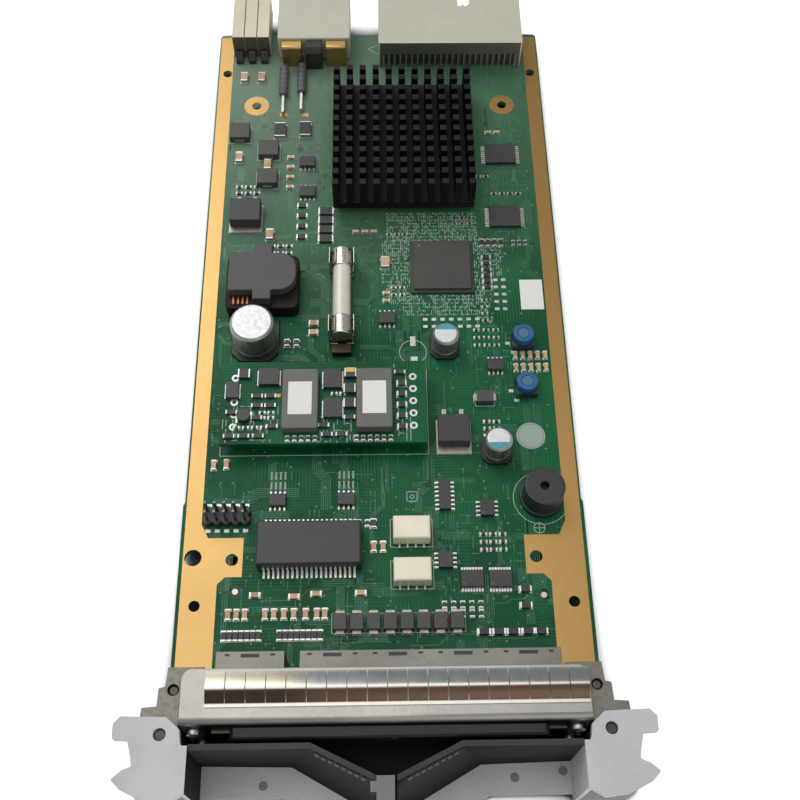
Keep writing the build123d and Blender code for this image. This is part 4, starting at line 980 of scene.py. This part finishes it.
def lever_regions(middles, normals):
    """Which finish a lever's face has: 1 for the arm's wall above its flange and the claw's inner wall on the
    left, 2 for the wall's upper rim, 3 for the latch block, and 0 for the cast grey claw and flange."""
    # the wider reach on the left takes the left claw's inner wall into the painted shade
    side = np.where(middles[:, 0] < 0, 46.2, 45.6)
    reach = np.abs(middles[:, 0])
    wall = (reach < side) & (reach > 2.38) & (middles[:, 2] > 1.7)
    rim = wall & (normals[:, 2] > 0.9)
    latch = (reach <= 2.38) & (middles[:, 2] > 1.7)
    return np.where(latch, 3, np.where(rim, 2, np.where(wall, 1, 0)))


def build_levers(sizes, colours):
    """Both levers: cast claws and flanges, dark arm walls with slots, and the dots of the ejector pins."""
    paint = cast_paint("lever_paint", tuple(colours.cast))
    # painted shade: the arm walls, their rims and the latch block are darker copies on the same cast lever
    dark = moulded("arm_black", (0.008, 0.007, 0.006), 0.6, 2500, 0.18, 0.00003, 0.13)
    block = cast_paint("latch_paint", tuple(channel * 0.32 for channel in colours.cast))
    rim = moulded("arm_rim", (0.040, 0.036, 0.033), 0.5, 2500, 0.18, 0.00003, 0.3)
    for side in ("left", "right"):
        softened(side + "_lever", [paint, dark, rim, block], sizes.cast_edge, lever_regions,
                 sizes.claw_corner)
    shade = cast_paint("lever_mark", tuple(channel * 0.35 for channel in colours.cast))
    for side, places in (("left", [(-30.5, 247.5)]), ("right", [(31.8, 246.4), (43.9, 245.0)])):
        piece(side + "_pin_marks", discs(spots(places, 1.58), 1.15, 0.05, 24), shade,
              side + "_lever")
        top = span(side + "_lever")[1][2]
        sign = -1 if side == "left" else 1
        steps = np.linspace(0.16, 0.86, 8)[:, None]
        bend = np.array([sign * 18.6, PIVOT_Y - 3.7])
        tip = np.array([sign * 3.2, PIVOT_Y - 11.3])
        line = bend + (tip - bend) * steps
        turn = np.arctan2(tip[1] - bend[1], tip[0] - bend[0])
        slots = blocks(at(line[:, 0], line[:, 1], top - 2.6), (1.1, 0.5, 0.7), turn)
        piece(side + "_arm_slots", slots, moulded("slot_grey", (0.10, 0.095, 0.085), 0.5),
              side + "_lever")


# Jacks and rear connectors

def build_jacks():
    """Shielded jacks: satin shells with seams and latch windows, dark inserts and gold contacts."""
    shell = plated("shell_nickel", (0.18, 0.175, 0.155), 0.36, 0.2, (5, 1, 1))
    for node in ("single_jack_shell", "quad_jack_shell"):
        softened(node, [shell], 0.00012)
    dress(black_mould(), "single_jack_insert", "quad_jack_insert")
    parts = []
    for node in ("single_jack_shell", "quad_jack_shell"):
        low, high = span(node)
        count = max(1, int(round((high[0] - low[0]) / 16.1)))
        x = low[0] + (high[0] - low[0]) * (np.arange(count) + 0.5) / count
        bases = at(x, high[1] - 1.1, high[2] - 2 * SUNK)
        parts.append(blocks(bases, (4.6, 0.9, 0.06)))
        parts.append(blocks(bases - [5.6, -0.2, 0], (1.2, 0.5, 0.06)))
        parts.append(blocks(bases + [5.6, 0.2, 0], (1.2, 0.5, 0.06)))
    piece("shell_windows", joined(*parts), black_mould())


def build_connectors(sizes, colours):
    """Rear connectors in grey plastic, with their gold and black pieces."""
    grey = moulded("connector_grey", tuple(colours.connector), 0.42, 1800, 0.06, 0.00002)
    cream = moulded("wafer_cream", (0.62, 0.58, 0.44), 0.42, 1800, 0.07, 0.00002)
    # painted shade: darker copies of the connectors' plastic on the faces that look to the front
    shadow = moulded("connector_front", (0.105, 0.10, 0.085), 0.5, 1800, 0.08, 0.00002)
    painted_shade_brown = moulded("wafer_front", (0.070, 0.056, 0.038), 0.5, 1800, 0.1, 0.00002)
    softened("signal_connector", [grey, shadow], sizes.moulded_edge, faces_front)
    softened("power_connector", [grey], sizes.moulded_edge)
    softened("wafer_connector", [cream, painted_shade_brown], 0.00015, faces_front)
    softened("power_contacts", [gold(colours)], 0.0002)
    dress(gold(colours), "signal_contacts", "jack_contacts")
    softened("connector_tails", [moulded("tail_black", (0.02, 0.018, 0.016), 0.3)], 0.0002)
    low, high = span("signal_connector")
    ribs = at(np.linspace(low[0] + 1.5, high[0] - 1.5, 24), low[1] + 1.0, TOP)
    piece("signal_legs", blocks(ribs, (0.5, 1.6, 5.9)), tin())


# Processor, chips and small parts

def build_chips():
    """The heat sink on its processor, the square chip, the memory chips and the small ones."""
    sink = moulded("black_anodised", (0.0035, 0.0035, 0.0037), 0.42, 1200, 0.3, 0.00001, 0.25)
    softened("heat_sink", [sink], 0.00012)
    dress(moulded("processor_lid", (0.05, 0.05, 0.05), 0.45), "processor")
    grey = moulded("chip_grey", (0.045, 0.041, 0.036), 0.5, 3000, 0.12)
    softened("main_chip", [grey], 0.0002)
    softened("memory_chips", [chip_black()], 0.0001)
    softened("small_chips", [chip_black()], 0.00012)
    softened("diodes", [moulded("diode_grey", (0.050, 0.051, 0.046), 0.45)], 0.00015)
    dress(tin(), "small_chip_leads", "chip_terminals")
    dress(plated("tab_tin", (0.34, 0.31, 0.285), 0.38), "metal_tabs")
    dress(tan_ceramic(), "chip_capacitors")
    dress(resistor_black(), "chip_resistors")
    low, high = solids("main_chip")
    corner = at(low[:, 0] + 2.6, high[:, 1] - 2.6, high[:, 2] - SUNK)
    dots = [discs(corner, 0.55, 0.025, 16)]
    for node in ("small_chips", "memory_chips"):
        low, high = solids(node)
        corner = at(low[:, 0] + 0.8, low[:, 1] + 0.8, high[:, 2] - SUNK)
        dots.append(discs(corner, 0.28, 0.02, 12))
    piece("first_leg_dots", joined(*dots), moulded("dot_grey", (0.09, 0.09, 0.085), 0.5))


def build_supply():
    """Fuse, coil, capacitors, power transistors and ribbed resistors."""
    softened("fuse_tube", [glazed("fuse_ceramic", (0.66, 0.63, 0.53))], 0)
    caps = plated("fuse_cap_nickel", (0.60, 0.58, 0.50), 0.25, 0.1)
    softened("fuse_caps", [caps], 0)
    softened("fuse_clips", [clip_metal()], 0.0001)
    softened("inductor_core", [ground_ferrite("core_ferrite", (0.062, 0.062, 0.061))], 0.0003)
    coil = moulded("coil_brown", (0.006, 0.005, 0.004), 0.5, 2500, 0.18, 0.00003, 0.2)
    softened("inductor_body", [coil], 0.0004)
    dress(plated("winding_copper", (0.55, 0.25, 0.10), 0.3), "inductor_winding")
    build_clips()
    low, high = span("inductor_body")
    turns = at(low[0] + 2.6 + 1.35 * np.arange(4), low[1] + 2.7, high[2] - 0.3)
    piece("coil_turns", blocks(turns, (0.95, 3.2, 0.9)), plated("turn_copper", (0.40, 0.17, 0.07), 0.3),
          edge=0.00035)
    can = plated("can_aluminium", (0.37, 0.37, 0.345), 0.46, 0.08, (1, 1, 0.1))
    lid = plated("can_lid", (0.62, 0.625, 0.63), 0.5, 0.06)
    for node in ("large_capacitor", "polymer_capacitors"):
        softened(node, [can, lid], 0.0002, faces_up)
    softened("capacitor_bases", [moulded("base_black", (0.010, 0.010, 0.009), 0.4)], 0.0002)
    softened("power_transistors", [moulded("transistor_black", (0.030, 0.031, 0.029), 0.45)],
             0.0003)
    softened("axial_resistors", [moulded("resistor_grey", (0.095, 0.095, 0.105), 0.55, 2500, 0.2)],
             0)
    dress(tin(), "axial_wires")
    build_blue_tops()


def build_clips():
    """Leaves of the fuse clips beside each cap, and the stop at each end of the fuse."""
    low, high = span("fuse_caps")
    middle = (low + high) / 2
    length = high[1] - low[1]
    leaf_x = (high[0] - low[0]) / 2 + 0.75
    cap = 3.2
    places = [(middle[0] + side * leaf_x, middle[1] + end * (length / 2 - cap), TOP)
              for side in (-1, 1) for end in (-1, 1)]
    piece("clip_leaves", blocks(places, (0.32, 5.6, 8.4)), clip_metal(), edge=0.0001)
    stops = [(middle[0], middle[1] + end * (length / 2 + 1.9), TOP) for end in (-1, 1)]
    bronze = plated("stop_bronze", (0.075, 0.060, 0.038), 0.4)
    piece("clip_stops", blocks(stops, (5.8, 3.2, 2.4)), bronze, edge=0.0003)


def build_blue_tops():
    """Blue segment on each small can: the part of a disc beyond a chord. Between the chord's ends the rim
    runs at angle t, and u goes from the chord to the rim: a point is the chord's plus u times the rest."""
    low, high = solids("polymer_capacitors")
    centres = (low + high) / 2
    radius = (high[0, 0] - low[0, 0]) / 2 - 0.75
    turns = np.where(centres[:, 1] > centres[:, 1].mean(), np.pi / 2, -np.pi / 2)
    reach = 1.2
    t = np.linspace(-reach, reach, 25)[None, :]
    u = np.linspace(0, 1, 5)[:, None]
    chord = np.cos(reach)
    x = radius * (chord + u * (np.cos(t) - chord))
    y = radius * np.sin(t) + 0 * u
    cosines, sines = np.cos(turns)[:, None, None], np.sin(turns)[:, None, None]
    level = high[:, 2][:, None, None] + 0 * x[None]
    upper = np.stack([x * cosines - y * sines + centres[:, :1, None],
                      x * sines + y * cosines + centres[:, 1:2, None], level + 0.03], -1)
    lower = upper - [0, 0, 0.05]
    piece("blue_marks", sheets(upper, lower), printed("capacitor_blue", (0.06, 0.34, 0.46)))


def build_module(colours):
    """The raised power board: its own mask, bricks, chips, pads and pins."""
    raised = solder_mask("module_mask", tuple(colours.mask), tuple(colours.track))
    dress(raised, "module_board")
    softened("module_bricks", [moulded("brick_grey", (0.115, 0.115, 0.105), 0.5)], 0.0003)
    softened("module_chips", [chip_black()], 0.0001)
    dress(tin(), "module_pins")
    level = MODULE_HIGH[2]
    low, high = solids("module_pins")
    middle = (low + high) / 2
    eyes = at(middle[:, 0], middle[:, 1], level - SUNK)
    rounds = rings(eyes, 0.55, 1.1, 0.07, 20)
    # painted shade: a black disc under each pin stands for the dark hole round it
    piece("module_holes", discs(eyes, 0.6, 0.03, 16), black_mould())
    low, high = solids("module_chips")
    size = high - low
    middle = (low + high) / 2
    tall = 1.3
    end_size = at(0.6, size[:, 1] * 0.9, np.where(size[:, 2] > tall, 0.12, size[:, 2] * 0.9))
    ends = [blocks(at(middle[:, 0] + side * (size[:, 0] / 2 + 0.1), middle[:, 1], level - SUNK), end_size)
            for side in (-1, 1)]
    piece("module_pads", joined(rounds, *ends), solder())
    yellow = np.concatenate([spots([(-9.1, 136.7)], level + 1.19), spots([(-29.3, 144.4)], level - SUNK)])
    piece("module_yellow_parts", blocks(yellow, [(2.5, 1.4, 0.06), (1.3, 1.0, 0.5)]),
          moulded("part_yellow", (0.72, 0.50, 0.12), 0.45))
    _, runs = fan_tracks(np.random.default_rng(5), MODULE_FANS, 0.24, level)
    piece("module_fans", runs, fan_green())


def build_relays(colours):
    """Relays in cream plastic, the black line transformer and their rows of legs."""
    cream = moulded("relay_cream", tuple(colours.relay), 0.4, 1800, 0.08, 0.00002)
    softened("relays", [cream], 0.00025)
    softened("line_transformer", [moulded("transformer_black", (0.028, 0.029, 0.028), 0.4)],
             0.0003)
    dress(tin(), "transformer_and_relay_leads")


def build_controls(colours):
    """Buttons with blue caps, the buzzer and the pin header."""
    softened("button_bases", [moulded("button_black", (0.02, 0.03, 0.035), 0.4)], 0.0002)
    blue = moulded("button_blue", tuple(colours.button), 0.35, 2000, 0.1, 0.00001)
    for node in ("rear_button_cap", "front_button_cap"):
        softened(node, [blue], 0.00015)
        low, high = span(node)
        middle = (low + high) / 2
        knob = turned([[middle[0], middle[1], high[2] - 0.5]],
                      [(0, 0), (1.62, 0), (1.62, 0.38), (1.5, 0.46), (0, 0.46)], 32)
        bar = blocks([[middle[0], middle[1], high[2] - 0.06]], (0.35, 2.2, 0.05))
        pale = moulded("knob_blue", (0.06, 0.14, 0.22), 0.4, 2000, 0.1, 0.00001)
        piece(node + "_knob", joined(knob, bar), pale, frame["nodes"][node]["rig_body"])
    softened("buzzer", [moulded("buzzer_black", (0.016, 0.018, 0.017), 0.38)], 0.0003)
    dress(plated("header_pin", (0.17, 0.16, 0.15), 0.35), "header_pins")
    softened("header_block", [moulded("header_black", (0.02, 0.02, 0.02), 0.4)], 0.00015)


def build_stickers(colours):
    """Blank stickers on the board and on the bricks, and the round grey-green one."""
    dress(paper("label_paper", tuple(colours.paper)), "stickers")
    low, high = solids("stickers")
    size = high - low
    round_one = np.argmin(np.abs(size[:, 0] - size[:, 1]))
    centre = (low[round_one] + high[round_one]) / 2
    place = [[centre[0], centre[1], high[round_one, 2] - 0.02]]
    radius = size[round_one, 0] / 2
    green = paper("green_paper", (0.30, 0.375, 0.325))
    piece("round_sticker", discs(place, radius, 0.035, 40), green)
    piece("round_sticker_line", rings(np.array(place) + [0, 0, 0.025], radius * 0.86, radius * 0.9, 0.02, 40),
          printed("sticker_grey", (0.16, 0.22, 0.18)))


def build_strips(colours):
    """The gold ground strips along both edges."""
    dress(gold(colours), "ground_strips")


# Stage

def backdrop(colours):
    """A pale floor that shows as white to camera, gloss and glass in the open, and keeps the shadow where
    the card's walls stand round it."""
    look = Finish("pale_floor", tuple(colours.floor), 0.9)
    rays = look.tree.nodes.new("ShaderNodeLightPath").outputs
    seen = look.sum(look.sum(rays["Is Camera Ray"], rays["Is Glossy Ray"], "MAXIMUM"),
                    rays["Is Transmission Ray"], "MAXIMUM")
    # ambient occlusion near the card's walls drives both the glow and the painted shadow
    around = look.tree.nodes.new("ShaderNodeAmbientOcclusion")
    around.inputs["Distance"].default_value = 0.035
    in_the_open = look.ramp(around.outputs["AO"], 0, 1, 0.42, 0.72)
    look.shader.inputs["Emission Color"].default_value = (1, 1, 1, 1)
    glow = look.sum(look.ramp(seen, 0, 0.7), in_the_open, "MULTIPLY")
    look.tree.links.new(glow, look.shader.inputs["Emission Strength"])
    # painted shadow: the floor's colour goes to near black where it is enclosed
    return look.paint(look.mixed(in_the_open, (0.03, 0.03, 0.032), colours.floor))


def build_stage(colours):
    """Floor, world, three soft lamps and the camera at the photograph's angle."""
    scene = bpy.context.scene
    mesh = bpy.data.meshes.new("floor")
    half, drop = 4, -0.0004
    corners = [(-half, -half, drop), (half, -half, drop), (half, half, drop), (-half, half, drop)]
    mesh.from_pydata(corners, [], [(0, 1, 2, 3)])
    floor = bpy.data.objects.new("floor", mesh)
    floor.data.materials.append(backdrop(colours))
    scene.collection.objects.link(floor)
    for name, place, size, power in (("overhead_lamp", (-0.15, 0.10, 0.80), 0.7, 2.3),
                                     ("rear_lamp", (-0.45, 0.65, 0.75), 0.6, 3.6),
                                     ("front_lamp", (0.35, -0.70, 0.50), 0.7, 1.0)):
        data = bpy.data.lights.new(name, "AREA")
        data.size = size
        data.energy = power
        lamp = bpy.data.objects.new(name, data)
        lamp.location = place
        lamp.rotation_euler = (-Vector(place)).to_track_quat("-Z", "Y").to_euler()
        scene.collection.objects.link(lamp)
    build_world(scene)
    right = Vector((0.99979, -0.0169, 0.0112))
    down = Vector((-0.00989, -0.8889, -0.458))
    ahead = Vector((0.0177, 0.45779, -0.88888))
    data = bpy.data.cameras.new("camera")
    data.sensor_width = 36.0
    data.lens = 49.78
    data.clip_start = 0.01
    camera = bpy.data.objects.new("camera", data)
    turn = Matrix((right, -down, -ahead)).transposed()
    camera.matrix_world = Matrix.Translation((-0.00063, -0.16160, 0.28811)) @ turn.to_4x4()
    scene.collection.objects.link(camera)
    scene.camera = camera
    scene.view_settings.view_transform = "Standard"


def build_world(scene):
    """Even pale light, and plain white where the camera, gloss or glass looks past the floor."""
    world = bpy.data.worlds.new("pale_world")
    world.use_nodes = True
    scene.world = world
    tree = world.node_tree
    background = next(node for node in tree.nodes if node.type == "BACKGROUND")
    background.inputs["Color"].default_value = (1, 1, 1, 1)
    rays = tree.nodes.new("ShaderNodeLightPath")
    level = tree.nodes.new("ShaderNodeMapRange")
    level.inputs["To Min"].default_value = 0.42
    level.inputs["To Max"].default_value = 1.0
    tree.links.new(rays.outputs["Is Camera Ray"], level.inputs["Value"])
    tree.links.new(level.outputs["Result"], background.inputs["Strength"])


# Operators, one for each group of pieces, and their panel

def step(name, label, text, build, *settings):
    """An operator that runs one group of pieces with the settings that the group needs."""
    def execute(self, context):
        build(*[getattr(context.scene, setting) for setting in settings])
        return {"FINISHED"}
    return type("CARD_OT_" + name, (Operator,), {
        "__doc__": text, "bl_idname": "card." + name, "bl_label": label, "execute": execute})


SIZES, COLOURS = "card_sizes", "card_colours"
STEPS = (
    step("board", "Board", "Finishes the board with its tracks, plated holes, print, rings and pads",
         build_board, SIZES, COLOURS),
    step("strips", "Ground strips", "Plates the ground strips along the board's edges", build_strips,
         COLOURS),
    step("tiny_parts", "Tiny parts", "Sets out the fields of tiny chips between the larger parts",
         build_tiny_parts),
    step("front_panel", "Front panel", "Finishes the folded panel, its brackets, screws and bar",
         build_panel),
    step("fingers", "Finger strip", "Lays the finger strip on the panel's upper flange", build_fingers,
         SIZES),
    step("levers", "Levers", "Finishes both levers and marks their ejector pins", build_levers,
         SIZES, COLOURS),
    step("jacks", "Jacks", "Finishes the shielded jacks", build_jacks),
    step("connectors", "Rear connectors", "Finishes the rear connectors and their contacts",
         build_connectors, SIZES, COLOURS),
    step("chips", "Chips", "Finishes the heat sink, the chips and the small parts", build_chips),
    step("supply", "Supply", "Finishes the fuse, coil, capacitors and power transistors", build_supply),
    step("module", "Power module", "Finishes the raised power board", build_module, COLOURS),
    step("relays", "Relays", "Finishes the relays and the line transformer", build_relays, COLOURS),
    step("controls", "Buttons and buzzer", "Finishes the buttons, the buzzer and the pin header",
         build_controls, COLOURS),
    step("stickers", "Stickers", "Lays the blank stickers", build_stickers, COLOURS),
    step("stage", "Stage", "Sets the floor, the lamps and the camera", build_stage, COLOURS),
)


class CARD_PT_sidebar(Panel):
    """Lists the steps that finish the card"""
    bl_label = "Interface card"
    bl_idname = "CARD_PT_sidebar"
    bl_space_type = "VIEW_3D"
    bl_region_type = "UI"
    bl_category = "Card"

    def draw(self, context):
        for step in STEPS:
            self.layout.operator(step.bl_idname)


CLASSES = (CardSizes, CardColours, *STEPS, CARD_PT_sidebar)


def register():
    for item in CLASSES:
        bpy.utils.register_class(item)
    bpy.types.Scene.card_sizes = PointerProperty(type=CardSizes)
    bpy.types.Scene.card_colours = PointerProperty(type=CardColours)


def unregister():
    del bpy.types.Scene.card_sizes
    del bpy.types.Scene.card_colours
    for item in reversed(CLASSES):
        bpy.utils.unregister_class(item)


def main():
    """Builds the whole card and writes its size before and after."""
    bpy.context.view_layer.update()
    register()
    for step in STEPS:
        group, name = step.bl_idname.split(".")
        getattr(getattr(bpy.ops, group), name)()


if __name__ == "__main__":
    main()
